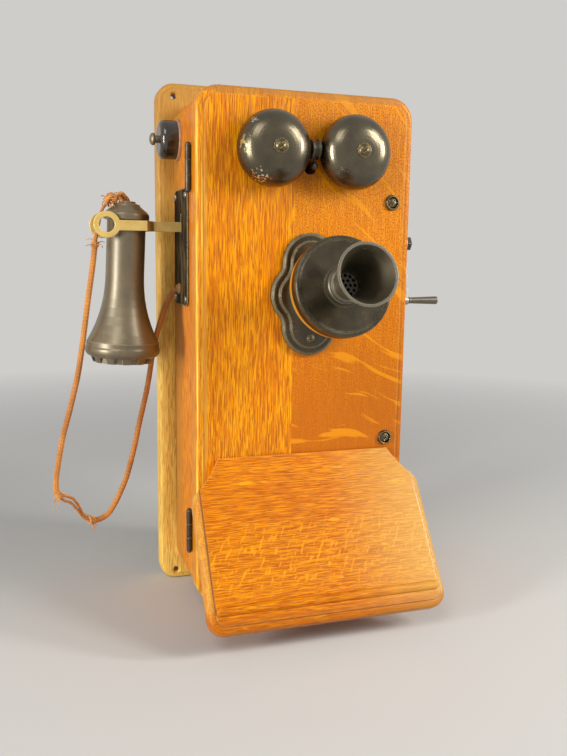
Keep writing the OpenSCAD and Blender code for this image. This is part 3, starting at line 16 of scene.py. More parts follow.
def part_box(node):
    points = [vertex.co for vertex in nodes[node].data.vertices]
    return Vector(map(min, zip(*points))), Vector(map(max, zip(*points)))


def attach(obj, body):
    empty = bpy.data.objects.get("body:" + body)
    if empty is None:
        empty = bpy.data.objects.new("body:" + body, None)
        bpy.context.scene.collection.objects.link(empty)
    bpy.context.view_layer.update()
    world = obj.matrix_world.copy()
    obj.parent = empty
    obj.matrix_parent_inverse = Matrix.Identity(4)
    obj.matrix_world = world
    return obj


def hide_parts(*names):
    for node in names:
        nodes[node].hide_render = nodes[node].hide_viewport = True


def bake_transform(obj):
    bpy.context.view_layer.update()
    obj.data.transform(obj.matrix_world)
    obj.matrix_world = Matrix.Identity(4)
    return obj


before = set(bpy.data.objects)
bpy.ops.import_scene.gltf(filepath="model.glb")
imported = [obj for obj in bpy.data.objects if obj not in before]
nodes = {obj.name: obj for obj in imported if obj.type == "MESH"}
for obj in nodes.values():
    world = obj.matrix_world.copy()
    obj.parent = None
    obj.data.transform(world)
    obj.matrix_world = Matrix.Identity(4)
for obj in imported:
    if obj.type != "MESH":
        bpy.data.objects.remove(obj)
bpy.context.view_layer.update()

# %% [markdown]
# The camera stands to the left of the telephone, a little above its middle, and looks slightly down.
# Its place was worked out from the straight edges of the board, the door and the shelf.
# A constraint could aim it, but a small roll is needed as well, so its three axes are built by hand.

# %% Camera
AZIMUTH = math.radians(18.5)
DOWN = math.radians(8.83)
ROLL = math.radians(0.81)
CAMERA_PLACE = (-0.24451, -0.78396, 0.0883)
FOCAL_PIXELS = 813.5
LONG_SIDE = 756
SENSOR_WIDTH = 36

forward = Vector((
    math.sin(AZIMUTH) * math.cos(DOWN),
    math.cos(AZIMUTH) * math.cos(DOWN),
    -math.sin(DOWN),
))
level_right = forward.cross(Vector((0, 0, 1))).normalized()
level_up = level_right.cross(forward)
cam_right = level_right * math.cos(ROLL) + level_up * math.sin(ROLL)
cam_up = level_up * math.cos(ROLL) - level_right * math.sin(ROLL)

cam_data = bpy.data.cameras.new("camera")
cam_data.sensor_width = SENSOR_WIDTH
cam_data.lens = FOCAL_PIXELS / LONG_SIDE * SENSOR_WIDTH
camera = bpy.data.objects.new("camera", cam_data)
bpy.context.scene.collection.objects.link(camera)
turn = Matrix((cam_right, cam_up, -forward)).transposed().to_4x4()
camera.matrix_world = Matrix.Translation(CAMERA_PLACE) @ turn
bpy.context.scene.camera = camera
bpy.context.scene.view_settings.view_transform = "Standard"
print("lens in mm:", round(cam_data.lens, 2))

# %% [markdown]
# The cord and all that is tied to it are round tubes along smooth lines.
# A tube could be skinned ring by ring, but a curve with a round bevel is even and has a UV map along it.
# The curve is then made a mesh, so that a braid can follow that map.

# %% Smooth lines and tubes
def through(points, steps):
    """Points of a smooth curve through the given ones."""
    found = []
    last = len(points) - 1
    for i in range(last):
        a, b = points[max(i - 1, 0)], points[i]
        c, d = points[i + 1], points[min(i + 2, last)]
        for k in range(steps):
            t = k / steps
            found.append(0.5 * (
                2 * b + (c - a) * t + (2 * a - 5 * b + 4 * c - d) * t * t
                + (3 * b - a - 3 * c + d) * t ** 3
            ))
    return found + [points[last]]


def tubes(name, lines, radius, roundness=4, tip=1.0, widths=None):
    """Round tubes along lines of points, as one mesh with a UV map.

    The tip thins their far ends, and widths, one a point, thin them anywhere."""
    data = bpy.data.curves.new(name, "CURVE")
    data.dimensions = "3D"
    data.bevel_depth = radius
    data.bevel_resolution = roundness
    data.use_fill_caps = True
    for points in lines:
        line = data.splines.new("POLY")
        line.points.add(len(points) - 1)
        for k, p in enumerate(points):
            line.points[k].co = (*p, 1)
            taper = 1 + (tip - 1) * k / (len(points) - 1)
            line.points[k].radius = widths[k] if widths else taper
    curve = bpy.data.objects.new(name + "_line", data)
    bpy.context.scene.collection.objects.link(curve)
    bpy.context.view_layer.update()
    shown = curve.evaluated_get(bpy.context.evaluated_depsgraph_get())
    mesh = bpy.data.meshes.new_from_object(shown)
    mesh.name = name
    bpy.data.objects.remove(curve)
    piece = bpy.data.objects.new(name, mesh)
    bpy.context.scene.collection.objects.link(piece)
    for face in mesh.polygons:
        face.use_smooth = True
    return piece


def in_metres(points):
    return [Vector(p) / 1000 for p in points]


def length_of(points):
    return sum((b - a).length for a, b in zip(points, points[1:]))


print("a smooth line through 3 points has", len(through(in_metres([(0, 0, 0)] * 3), 4)), "points")

# %% [markdown]
# The receiver cord is limp braided cotton. It comes out of the plate on the left side, hangs in a loop
# and goes into the receiver's top. A simulated rope would hang well, but not in this old cord's own bends,
# so the route is a list of points, in millimetres, that follows it bend by bend.
# At two places its strands have parted, and the tube is half as thick there.

# %% Receiver cord
CORD_D = 0.005
CORD_ROUTE = [
    (-103, -50, 54), (-107, -47, 48), (-112, -41, 35), (-117, -35, 16), (-121, -31, -3),
    (-124, -30, -23), (-128, -31, -44), (-135, -35, -70), (-142, -39, -98), (-151, -44, -125),
    (-164, -48, -149), (-173, -51, -155.5), (-182.4, -55, -155.5), (-190, -57, -151.5),
    (-195.5, -58.5, -143), (-201, -60, -136), (-208, -61.5, -132), (-212.8, -62.5, -124),
    (-213, -63.5, -112), (-211, -64, -99), (-206.5, -65, -75), (-200, -65, -51), (-193, -65, -23),
    (-189, -64, -1), (-186, -63, 18), (-182, -62, 45), (-178, -61, 70), (-175, -60, 91),
    (-172.5, -59, 103), (-170.5, -58, 113), (-169, -58, 120), (-165, -58, 126.5), (-160, -57.5, 131),
    (-153.5, -56, 134.5), (-147, -56, 131), (-146.5, -56, 124),
]
STEPS = 6
THIN_PARTS = [(12, 16.6), (27, 33)]
THINNER_BY = 0.5
THINS_OVER = 0.3

route = in_metres(CORD_ROUTE)
cord_line = through(route, STEPS)
cord_widths = []
for k in range(len(cord_line)):
    inside = max(min(k / STEPS - first, last - k / STEPS) for first, last in THIN_PARTS)
    cord_widths.append(1 - THINNER_BY * min(max(inside / THINS_OVER, 0), 1))
cord = tubes("cord", [cord_line], CORD_D / 2, widths=cord_widths)
cord_length = length_of(cord_line)
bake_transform(cord)
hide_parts("receiver_cord")
print("cord length in m:", round(cord_length, 3), "UV maps:", [u.name for u in cord.data.uv_layers])

# %% [markdown]
# The old braid is bound with thread at three places, and loose ends stick out there.
# Hair particles could make the ends, but a few tapered tubes are enough and export as they are.
# A binding is a short helix round the cord, with its loose threads as a second piece.
# The draws come from one seeded source, so that the threads lie the same way each time.

# %% Bindings
THREAD_REACH = 0.009
THREAD_R = 0.0006
THREAD_TIP = 0.4
THREADS = 7
WRAP_R = 0.0008
WRAP_OUT = CORD_D * 0.56
WRAP_RISE = 0.0014
WRAP_STEPS = 12
draw = random.Random(11)
bound = []


def on_cord(piece, body):
    """Lets a piece on the cord move with one body."""
    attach(piece, body)
    bound.append(piece)


def loose_threads(place, axis, count):
    """Short bent threads that stick out round a place on the cord."""
    found = []
    side = axis.orthogonal().normalized()
    for k in range(count):
        way = Matrix.Rotation(2 * math.pi * k / count + draw.uniform(-0.4, 0.4), 3, axis) @ side
        way = (way + axis * draw.uniform(-0.9, 0.9)).normalized()
        reach = THREAD_REACH * draw.uniform(0.55, 1.0)
        droop = Vector((draw.uniform(-1, 1), draw.uniform(-1, 1), -1)) * reach * 0.3
        start = place + axis * draw.uniform(-0.002, 0.002) + way * CORD_D * 0.3
        found.append(through([start, start + way * reach * 0.6, start + way * reach + droop], 4))
    return found


def binding(name, place, along, body, turns=3):
    """A thread wound round the cord, with loose ends, that moves with one body."""
    axis = Vector(along).normalized()
    middle = Vector(place) / 1000
    side = axis.orthogonal().normalized()
    wound = []
    for k in range(turns * WRAP_STEPS + 1):
        spoke = Matrix.Rotation(2 * math.pi * k / WRAP_STEPS, 3, axis) @ side
        wound.append(middle + spoke * WRAP_OUT + axis * WRAP_RISE * (k / WRAP_STEPS - turns / 2))
    on_cord(tubes(name, [wound], WRAP_R, 2), body)
    ends = loose_threads(middle, axis, THREADS)
    on_cord(tubes(name + "_threads", ends, THREAD_R, 1, THREAD_TIP), body)


binding("upper_binding", (-175, -60, 92), (2, 1, 17), "receiver")
binding("left_binding", (-211.4, -62.2, -127.5), (-8, -2, 12), "case", 4)
binding("lower_binding", (-182.4, -55, -155.5), (10, 4, -1), "case", 4)
print("bindings:", [piece.name for piece in bound])

# %% [markdown]
# Where the cord has parted, its second strand runs beside the thin part as a tube of its own.
# The knot on the receiver's top could be tied by a simulation, but a few fat loops, given one by one
# and lying over each other, look the same and stay still.

# %% Parted strands and the knot
PARTED_STRANDS = {
    "case": ("lower_strand", [
        (-184, -55, -155), (-190, -55, -149), (-193.5, -55.5, -141.5),
        (-198, -57, -134), (-204, -59, -130), (-210, -61.5, -128.5),
    ]),
    "receiver": ("upper_strand", [
        (-175, -60, 91), (-174.5, -57, 100), (-171.5, -55, 108),
        (-170, -55, 117), (-166, -56, 125), (-160, -57, 130),
    ]),
}
KNOT_LOOPS = [
    [(-164, -58, 126.5), (-164, -61, 130), (-160.5, -61.5, 133.5),
     (-157.5, -59, 131), (-159, -56.5, 127.5)],
    [(-157, -60, 128), (-156, -60.5, 133), (-152, -59, 136),
     (-148.5, -57.5, 133), (-149.5, -55.5, 128.5)],
    [(-160, -55, 128), (-157.5, -58.5, 133), (-153.5, -60, 132),
     (-150.5, -59, 128), (-149, -56, 126)],
    [(-163.5, -60, 127.5), (-164, -59, 132), (-160.5, -57.5, 135),
     (-157.5, -59, 133), (-159, -61, 128.5)],
]
KNOT_TUFTS = [((-162.5, -60, 130.5), 13), ((-153, -58, 133), 4)]
TUFT_AXIS = Vector((0.3, 0.95, 0))
STRAND_R = CORD_D * 0.26
KNOT_R = 0.0017
TUFT_R = 0.0007

for body, (name, points) in PARTED_STRANDS.items():
    on_cord(tubes(name, [through(in_metres(points), STEPS)], STRAND_R, 3), body)

knot_lines = [through(in_metres(loop), STEPS) for loop in KNOT_LOOPS]
on_cord(tubes("knot", knot_lines, KNOT_R, 3), "receiver")
tufts = []
for place, count in KNOT_TUFTS:
    tufts += loose_threads(Vector(place) / 1000, TUFT_AXIS, count)
on_cord(tubes("knot_threads", tufts, TUFT_R, 1, THREAD_TIP), "receiver")
print("pieces on the cord:", [piece.name for piece in bound])

# %% [markdown]
# The cord has its real length and diameter.
# Its length could be a usual one for such a telephone, but both ends show in the photograph,
# so it is the length of the route, and the far end goes back into the object.

print("declared with", len(bound), "pieces on it")

# %% [markdown]
# A finish is a small tree of shader nodes. It could be drawn by hand in the shader editor.
# Written as code, it needs helpers that add one node at a time, with its options and inputs,
# so that a material below reads as a list of what lies on the surface.

# %% Node helpers
def step(tree, kind, inputs=None, **options):
    """Adds a shader node, sets its options, and links or fills its inputs."""
    made = tree.nodes.new("ShaderNode" + kind)
    for key, value in options.items():
        setattr(made, key, value)
    for key, value in (inputs or {}).items():
        if isinstance(value, bpy.types.NodeSocket):
            tree.links.new(value, made.inputs[key])
        else:
            made.inputs[key].default_value = value
    return made


def place_of(tree):
    """The place of a point on the piece, in metres."""
    return step(tree, "TexCoord").outputs["Object"]


def along_axis(tree, axis):
    """One of the three lengths of a place, by its letter."""
    return step(tree, "SeparateXYZ", {0: place_of(tree)}).outputs[axis]


def noise(tree, vector, repeats, detail=2.0):
    """Noise with a number of repeats a metre along each axis."""
    stretched = step(tree, "VectorMath", {0: vector, 1: repeats}, operation="MULTIPLY").outputs[0]
    return step(tree, "TexNoise", {"Vector": stretched, "Scale": 1.0, "Detail": detail}).outputs[0]


def noise_over(tree, across, up, repeats, detail):
    """Noise over two lengths, with a number of repeats a metre along each."""
    spread = step(tree, "CombineXYZ", {0: across, 2: up}).outputs[0]
    return noise(tree, spread, (repeats[0], 1, repeats[1]), detail)


def band(tree, value, low, high, start=0.0, end=1.0):
    """Turns a value between low and high into one between start and end."""
    ends = {"Value": value, "From Min": low, "From Max": high, "To Min": start, "To Max": end}
    return step(tree, "MapRange", ends).outputs[0]


def sums(tree, operation, a, b=0.0, c=0.0):
    """One sum with up to three values."""
    return step(tree, "Math", {0: a, 1: b, 2: c}, operation=operation).outputs[0]


def opaque(colour):
    """Three numbers of a colour with a full alpha, or a socket as it is."""
    return (*colour, 1) if isinstance(colour, tuple) else colour


def mix(tree, mask, a, b):
    """Colour a where the mask is 0, and colour b where it is 1."""
    return step(tree, "Mix", {0: mask, 6: opaque(a), 7: opaque(b)}, data_type="RGBA").outputs[2]


print("noise, bands and mixes are ready")

# %% [markdown]
# These helpers make whole finishes: a new material, a shared group, a bump, and one more layer of colour.
# A sharp edge could be rounded in the mesh, but the solids stay as they are,
# so a Bevel node only shades it as if it were round.

# %% Finish helpers
def new_group(name, takes, gives):
    """An empty shader group with named sockets, returned with its two inner ends."""
    tree = bpy.data.node_groups.new(name, "ShaderNodeTree")
    for label, kind in takes.items():
        tree.interface.new_socket(label, in_out="INPUT", socket_type="NodeSocket" + kind)
    for label, kind in gives.items():
        tree.interface.new_socket(label, in_out="OUTPUT", socket_type="NodeSocket" + kind)
    return tree, tree.nodes.new("NodeGroupInput").outputs, tree.nodes.new("NodeGroupOutput").inputs


def new_finish(name, **sockets):
    """A material whose plain values sit on the shader's own sockets."""
    finish = bpy.data.materials.new(name)
    finish.use_nodes = True
    shader = finish.node_tree.nodes["Principled BSDF"]
    for label, value in sockets.items():
        shader.inputs[label.replace("_", " ")].default_value = value
    return finish, finish.node_tree, shader


def bump(tree, shader, height, depth, strength, soft_edge):
    """Bumps a surface by a height, and shades its sharp edges as if they were rounded."""
    rounded = step(tree, "Bevel", {"Radius": soft_edge}, samples=6).outputs[0]
    inputs = {"Height": height, "Distance": depth, "Strength": strength, "Normal": rounded}
    tree.links.new(step(tree, "Bump", inputs).outputs[0], shader.inputs["Normal"])


def layer(finish, mask, colour, share=1.0):
    """Lays one more colour over a finish where the mask is 1, as thickly as the share says."""
    tree = finish.node_tree
    target = tree.nodes["Principled BSDF"].inputs["Base Color"]
    under = target.links[0].from_socket
    tree.links.new(mix(tree, sums(tree, "MULTIPLY", mask, share), under, colour), target)


def crease_mask(tree, reach):
    """Where a surface lies in a corner, for painted shade there."""
    shut_in = {"Distance": reach}
    open_share = step(tree, "AmbientOcclusion", shut_in, samples=6, only_local=True).outputs["AO"]
    return band(tree, open_share, 0.85, 0.45)


def dress(finish, *names):
    """Puts a finish on CAD nodes by name."""
    for name in names:
        piece = nodes[name]
        if not piece.material_slots:
            piece.data.materials.append(finish)
        for slot in piece.material_slots:
            slot.material = finish


print("finish helpers are ready for", len(nodes), "nodes")

# %% [markdown]
# A plain pale floor lies just under the back board and takes the telephone's shadow.
# A wall could close the view behind it, but then an edge would show,
# so the floor fades out with distance and the pale world shows there.

# %% Floor
FLOOR_Z = -0.2371
FLOOR_SIZE = 6
FLOOR_GREY = (0.66, 0.68, 0.72, 1)
FADES_FROM = 0.55
FADES_TO = 1.5

floor_bm = bmesh.new()
bmesh.ops.create_grid(floor_bm, x_segments=1, y_segments=1, size=FLOOR_SIZE)
bmesh.ops.translate(floor_bm, verts=floor_bm.verts, vec=(0, 0, FLOOR_Z))
floor_mesh = bpy.data.meshes.new("floor")
floor_bm.to_mesh(floor_mesh)
floor_bm.free()
floor = bpy.data.objects.new("floor", floor_mesh)
bpy.context.scene.collection.objects.link(floor)

floor_paint, tree, shader = new_finish("floor_paint", Roughness=0.9)
shader.inputs["Base Color"].default_value = FLOOR_GREY
away = step(tree, "VectorMath", {0: place_of(tree)}, operation="LENGTH").outputs["Value"]
tree.links.new(band(tree, away, FADES_FROM, FADES_TO, 1.0, 0.0), shader.inputs["Alpha"])
floor.data.materials.append(floor_paint)
print("floor at z =", FLOOR_Z)

# %% [markdown]
# The world is pale to the camera and in reflections, but gives little light of its own.
# One big lamp would light the telephone evenly and flatly. Four warm soft ones are used instead:
# tall ones at the left and right give each gong two upright highlights and the receiver one,
# a square one at the right gives the shelf its sheen, and a wide one above fills the rest.
# Their levels are kept so that a colour renders about as it is written.

# %% World and lamps
PALE = (0.62, 0.61, 0.59, 1)
WORLD_LIGHT = 0.32
LAMP_COLOUR = (1.0, 0.945, 0.83)
MIDDLE = (0, -0.1, 0)
LAMPS = [
    ("lamp_left", (-1.50, -0.70, 0.15), MIDDLE, (0.24, 0.85), 21),
    ("lamp_right", (0.98, -1.00, 0.78), MIDDLE, (0.46, 0.46), 10),
    ("lamp_side", (1.26, -0.77, 0.42), (0, -0.1, 0.10), (0.17, 0.42), 11),
    ("lamp_above", (-0.9, -1.2, 1.3), MIDDLE, (0.8, 0.8), 9),
]

world = bpy.data.worlds.new("studio")
world.use_nodes = True
bpy.context.scene.world = world
sky = world.node_tree
rays = step(sky, "LightPath").outputs
seen = sums(sky, "MAXIMUM", rays["Is Camera Ray"], rays["Is Glossy Ray"])
seen = sums(sky, "MAXIMUM", seen, rays["Is Transmission Ray"])
sky.nodes["Background"].inputs["Color"].default_value = PALE
sky.links.new(band(sky, seen, 0.0, 1.0, WORLD_LIGHT, 1.0), sky.nodes["Background"].inputs["Strength"])


def soft_lamp(name, place, aim, size, power):
    """A rectangular soft lamp at a place, turned to an aim point."""
    data = bpy.data.lights.new(name, "AREA")
    data.shape = "RECTANGLE"
    data.size, data.size_y = size
    data.energy = power
    data.color = LAMP_COLOUR
    lamp = bpy.data.objects.new(name, data)
    bpy.context.scene.collection.objects.link(lamp)
    lamp.location = place
    lamp.rotation_mode = "QUATERNION"
    lamp.rotation_quaternion = (Vector(aim) - Vector(place)).to_track_quat("-Z", "Y")


for lamp_values in LAMPS:
    soft_lamp(*lamp_values)

# %% [markdown]
# Oak has broad bands of tone, fine streaks, and the dark open pores that make it what it is.
# A Wave texture could draw rings, but these boards show almost none, so all three are noise,
# stretched along the grain, which runs along Z of the vector that is given.
# The pores' repeats are values of their own, because a quarter-sawn board shows short specks,
# not long dashes.

# %% Oak grain group
TONE_ZONES = (38, 38, 2.4)
STREAKS = (1150, 1150, 52)
ZONE_SHARE = 0.35

oak, takes, gives = new_group(
    "oak_grain",
    {"Vector": "Vector", "Light": "Color", "Dark": "Color", "Pore": "Color",
     "Pores": "Vector", "Cover": "Float"},
    {"Color": "Color", "Height": "Float"},
)
zones = noise(oak, takes["Vector"], TONE_ZONES, 3.0)
streaks = noise(oak, takes["Vector"], STREAKS, 2.0)
tone = band(oak, sums(oak, "MULTIPLY_ADD", zones, ZONE_SHARE, streaks), 0.59, 0.76)
pores = band(oak, noise(oak, takes["Vector"], takes["Pores"], 1.0), 0.53, 0.56)
pores = sums(oak, "MULTIPLY", pores, takes["Cover"])
board = mix(oak, tone, takes["Dark"], takes["Light"])
oak.links.new(mix(oak, pores, board, takes["Pore"]), gives["Color"])
oak.links.new(sums(oak, "SUBTRACT", 1.0, pores), gives["Height"])


def oak_layer(tree, vector, colours, pores, cover):
    """Oak in a light, a dark and a pore colour, with its own repeats and cover of pores."""
    light, dark, pore = colours
    inputs = {"Vector": vector, "Pores": pores, "Cover": cover}
    inputs.update({"Light": opaque(light), "Dark": opaque(dark), "Pore": opaque(pore)})
    return step(tree, "Group", inputs, node_tree=oak).outputs


print("group:", oak.name, "with", len(oak.nodes), "nodes")

# %% [markdown]
# Edges wear first. They could be found by the Pointiness of the mesh, but that needs many joined
# vertices, and the solids are loose triangles. The Bevel node looks round a sharp edge instead:
# where its normal leaves the surface's own normal there is an edge, and noise breaks the worn line up.

# %% Edge wear group
edge_wear, takes, gives = new_group(
    "edge_wear",
    {"Vector": "Vector", "Radius": "Float", "Repeats": "Float"},
    {"Mask": "Float", "Edge": "Float"},
)
rounded = step(edge_wear, "Bevel", {"Radius": takes["Radius"]}, samples=6).outputs[0]
true_normal = step(edge_wear, "NewGeometry").outputs["Normal"]
both_normals = {0: rounded, 1: true_normal}
same = step(edge_wear, "VectorMath", both_normals, operation="DOT_PRODUCT").outputs["Value"]
edge = band(edge_wear, same, 0.99, 0.86)
spots = step(edge_wear, "TexNoise", {
    "Vector": takes["Vector"], "Scale": takes["Repeats"], "Detail": 4.0,
}).outputs[0]
worn_spots = band(edge_wear, sums(edge_wear, "MULTIPLY_ADD", edge, 0.45, spots), 0.72, 0.86)
edge_wear.links.new(sums(edge_wear, "MULTIPLY", worn_spots, edge), gives["Mask"])
edge_wear.links.new(edge, gives["Edge"])


def edges(tree, radius, repeats):
    """The worn edges of a piece, and its whole edges."""
    inputs = {"Vector": place_of(tree), "Radius": radius, "Repeats": repeats}
    return step(tree, "Group", inputs, node_tree=edge_wear).outputs


print("group:", edge_wear.name)

# %% [markdown]
# Chips sit where the thing was knocked. Noise alone would spread them all over,
# so this group gives a broken mask round one place, and each knock can be put where it really is.

# %% Chips group
chips, takes, gives = new_group(
    "chips",
    {"Vector": "Vector", "Place": "Vector", "Reach": "Float", "Repeats": "Float", "Cover": "Float"},
    {"Mask": "Float"},
)
both_places = {0: takes["Vector"], 1: takes["Place"]}
far = step(chips, "VectorMath", both_places, operation="DISTANCE").outputs["Value"]
near = band(chips, sums(chips, "DIVIDE", far, takes["Reach"]), 0.35, 1.0, 1.0, 0.0)
spots = step(chips, "TexNoise", {
    "Vector": takes["Vector"], "Scale": takes["Repeats"], "Detail": 2.0,
}).outputs[0]
level = sums(chips, "MULTIPLY_ADD", near, takes["Cover"], spots)
chips.links.new(sums(chips, "MULTIPLY", band(chips, level, 0.80, 0.84), near), gives["Mask"])
print("group:", chips.name)

# %% [markdown]
# The door is made of two boards. The left one is plain-sawn, with long straight pores, and the right one
# is quarter-sawn, with short specks, and grows redder towards its foot.
# They could be two solids, but the join is flush and only its colour shows, so a step in x parts them.

# %% Door boards
LONG_PORES = (1700, 1700, 75)
SHORT_PORES = (1050, 1050, 700)
PORE_COVER = 0.75
DARK_PORE = (0.38, 0.085, 0.001)
PLAIN_SAWN = ((0.90, 0.375, 0.002), (0.69, 0.195, 0.001), DARK_PORE)
QUARTER_SAWN = ((0.82, 0.30, 0.002), (0.69, 0.21, 0.001), DARK_PORE)
RED_FOOT = (0.48, 0.115, 0.001)
REDDENS = (0.10, -0.06)
JOIN_X = -0.012
GRAIN_DEPTH = 0.00025
SOFT_EDGE = 0.002

door_low, door_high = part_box("door_panel")
door_oak, tree, shader = new_finish("door_oak", Specular_IOR_Level=0.28, Coat_Roughness=0.12)
place = place_of(tree)
x = along_axis(tree, "X")
z = along_axis(tree, "Z")
straight = oak_layer(tree, place, PLAIN_SAWN, LONG_PORES, PORE_COVER)
speckled = oak_layer(tree, place, QUARTER_SAWN, SHORT_PORES, PORE_COVER)
quartered = mix(tree, band(tree, z, *REDDENS, 0.0, 0.72), speckled["Color"], RED_FOOT)
tree.links.new(band(tree, straight["Height"], 0.0, 1.0, 0.5, 0.33), shader.inputs["Roughness"])
bump(tree, shader, straight["Height"], GRAIN_DEPTH, 0.35, SOFT_EDGE)
dress(door_oak, "door_panel")
print("boards join at x =", JOIN_X)

# %% [markdown]
# The right board shows broad pale flecks that fall away to the right in slow curves, steeper higher up.
# They could be drawn one by one, but there are many, so they are noise on a bent height, stretched along
# the curve. Pores hardly show on them, and they end before the door's right edge, as its side has none.

# %% Door flecks
FALL_BY_HEIGHT = 3.5
FALL_BY_WIDTH = 2.4
FALL_LEAST = 0.28
WAVERS = (16, 16, 16)
WAVER_BY = 0.03
FLECKS = (13, 90)
FLECK_COLOUR = (0.86, 0.33, 0.003)
BARE_BORDER = 0.001
FADE_BORDER = 0.005
JOIN_SOFT = 0.0003

out = sums(tree, "SUBTRACT", x, JOIN_X)
outward = sums(tree, "MULTIPLY_ADD", out, FALL_BY_WIDTH, FALL_LEAST)
slope = sums(tree, "MULTIPLY_ADD", z, FALL_BY_HEIGHT, outward)
fall = sums(tree, "MULTIPLY_ADD", out, slope, z)
waver = sums(tree, "MULTIPLY_ADD", noise(tree, place, WAVERS, 1.0), WAVER_BY, fall)
flecks = band(tree, noise_over(tree, out, waver, FLECKS, 2.0), 0.57, 0.62)
on_front = band(tree, x, door_high[0] - BARE_BORDER, door_high[0] - FADE_BORDER, 0.0, 0.7)
quartered = mix(tree, sums(tree, "MULTIPLY", flecks, on_front), quartered, FLECK_COLOUR)
right = band(tree, x, JOIN_X - JOIN_SOFT, JOIN_X + JOIN_SOFT)
tree.links.new(mix(tree, right, straight["Color"], quartered), shader.inputs["Base Color"])
print("flecks a metre:", FLECKS)

# %% [markdown]
# The door's edges are rubbed pale, with a painted highlight laid on that paleness, and keep a gloss,
# and painted shade lies in the steps of its moulding. Down the left edge's moulding, long yellow
# stripes are painted highlights with painted shade between them, and the top edge is darkened by painted
# shade.
# Strokes in a painted picture could show this, but layers that follow the door's own box keep their places
# when its size changes.

# %% Door edges
RUBBED_AND_LIT = (0.90, 0.50, 0.07)
DOOR_CREASE_SHADE = (0.30, 0.09, 0.004)
RIDGE_SHADE = (0.66, 0.24, 0.006)
RIDGE_HIGHLIGHT = (1.0, 0.72, 0.10)
STRIPE_WIDTH = 0.0042
STRIPES_REACH = (0.0095, 0.0085)
STRIPES_TOP = (0.21, 0.19)
STRIPE_BREAKS = (420, 420, 14)
TOP_EDGE_SHADE = (0.40, 0.19, 0.045)
TOP_SHADE_REACH = (0.0065, 0.0050)
EDGE_R = 0.003
EDGE_SPOTS = 160.0
CREASE_REACH = 0.006

edge = edges(tree, EDGE_R, EDGE_SPOTS)
tree.links.new(edge["Edge"], shader.inputs["Coat Weight"])
# Pale edges, partly real wear and partly a painted highlight.
layer(door_oak, edge["Mask"], RUBBED_AND_LIT, 0.5)
# Painted highlights of the left edge's moulded ridges, as yellow stripes, with painted shade between them.
from_left = sums(tree, "SUBTRACT", x, door_low[0])
wave = sums(tree, "SINE", sums(tree, "MULTIPLY", from_left, 2 * math.pi / STRIPE_WIDTH))
stripes = mix(tree, band(tree, wave, 0.2, 0.8), RIDGE_SHADE, RIDGE_HIGHLIGHT)
near_left = sums(tree, "MULTIPLY", band(tree, from_left, *STRIPES_REACH), band(tree, z, *STRIPES_TOP))
broken = band(tree, noise(tree, place, STRIPE_BREAKS, 4.0), 0.40, 0.60, 0.0, 0.85)
layer(door_oak, sums(tree, "MULTIPLY", near_left, broken), stripes)
# Painted shade in the steps of the moulding, from the crease mask.
layer(door_oak, crease_mask(tree, CREASE_REACH), DOOR_CREASE_SHADE, 0.7)
# Painted shade along the door's top edge.
below_top = sums(tree, "SUBTRACT", door_high[2], z)
layer(door_oak, band(tree, below_top, *TOP_SHADE_REACH), TOP_EDGE_SHADE, 0.6)
print("finish:", door_oak.name, "with", len(tree.nodes), "nodes")

# %% [markdown]
# The writing shelf is oak too, with its grain across. The solid could be given a turned UV map,
# but it is enough to swap the vector's X and Z.
# Its middle shows a belt of short slanted flecks, like rain, and a few long ones lie along the grain.

# %% Shelf boards
FINE_PORES = (1900, 1900, 80)
SHELF_COVER = 0.7
SHELF_SAWN = ((0.80, 0.29, 0.002), (0.62, 0.165, 0.001), (0.34, 0.065, 0.001))
RAIN_SLANT = -0.6
RAIN = (300, 130)
RAIN_FOOT = (-0.192, -0.178)
RAIN_TOP = (-0.136, -0.150)
LONG_FLECKS = (28, 150)
SHELF_FLECK = (0.96, 0.40, 0.010)

shelf_oak, tree, shader = new_finish("shelf_oak", Specular_IOR_Level=0.22, Coat_Roughness=0.15)
place = place_of(tree)
x = along_axis(tree, "X")
z = along_axis(tree, "Z")
across = step(tree, "CombineXYZ", {0: z, 1: along_axis(tree, "Y"), 2: x}).outputs[0]
grain = oak_layer(tree, across, SHELF_SAWN, FINE_PORES, SHELF_COVER)
tree.links.new(grain["Color"], shader.inputs["Base Color"])
tree.links.new(band(tree, grain["Height"], 0.0, 1.0, 0.46, 0.32), shader.inputs["Roughness"])
bump(tree, shader, grain["Height"], GRAIN_DEPTH, 0.4, SOFT_EDGE)
slant = sums(tree, "MULTIPLY_ADD", z, RAIN_SLANT, x)
rain = band(tree, noise_over(tree, slant, z, RAIN, 1.0), 0.57, 0.65, 0.0, 0.75)
belt = sums(tree, "MULTIPLY", band(tree, z, *RAIN_FOOT), band(tree, z, *RAIN_TOP))
long_flecks = band(tree, noise_over(tree, x, z, LONG_FLECKS, 2.0), 0.66, 0.70)
pale = sums(tree, "MAXIMUM", sums(tree, "MULTIPLY", rain, belt), long_flecks)
layer(shelf_oak, pale, SHELF_FLECK, 0.8)
dress(shelf_oak, "shelf_board", "shelf_ledge", "shelf_brackets")
print("finish:", shelf_oak.name)

# %% [markdown]
# The shelf has seen the most use, and some of its marks are painted light. Its right end is paler, partly
# bleached and partly a painted sheen, its front edge is darker below the ledge with painted shade, and its
# left border is rubbed pale and carries a painted highlight of a bead, beside a dark line of painted shade
# along a groove. These could be one mask painted by hand. Layers that each follow one length say plainly
# where each mark is.

# %% Shelf wear
BLEACH_AND_SHEEN = (0.70, 0.43, 0.10)
BLEACH_AND_SHEEN_SPAN = (0.015, 0.105)
SHELF_RUBBED = (0.86, 0.46, 0.09)
SHELF_CREASE_SHADE = (0.22, 0.06, 0.003)
UNDER_LEDGE_SHADE = (0.40, 0.10, 0.001)
UNDER_LEDGE_SPAN = (-0.199, -0.204)
BORDER_RUBBED_AND_LIT = (0.72, 0.41, 0.08)
BORDER = 0.006
BORDER_SOFT = 0.001
BORDER_PATCHES = (700, 200, 24)
BORDER_ABOVE = (-0.200, -0.196)
GROOVE_SHADE_LINE = (0.0009, 0.0003)
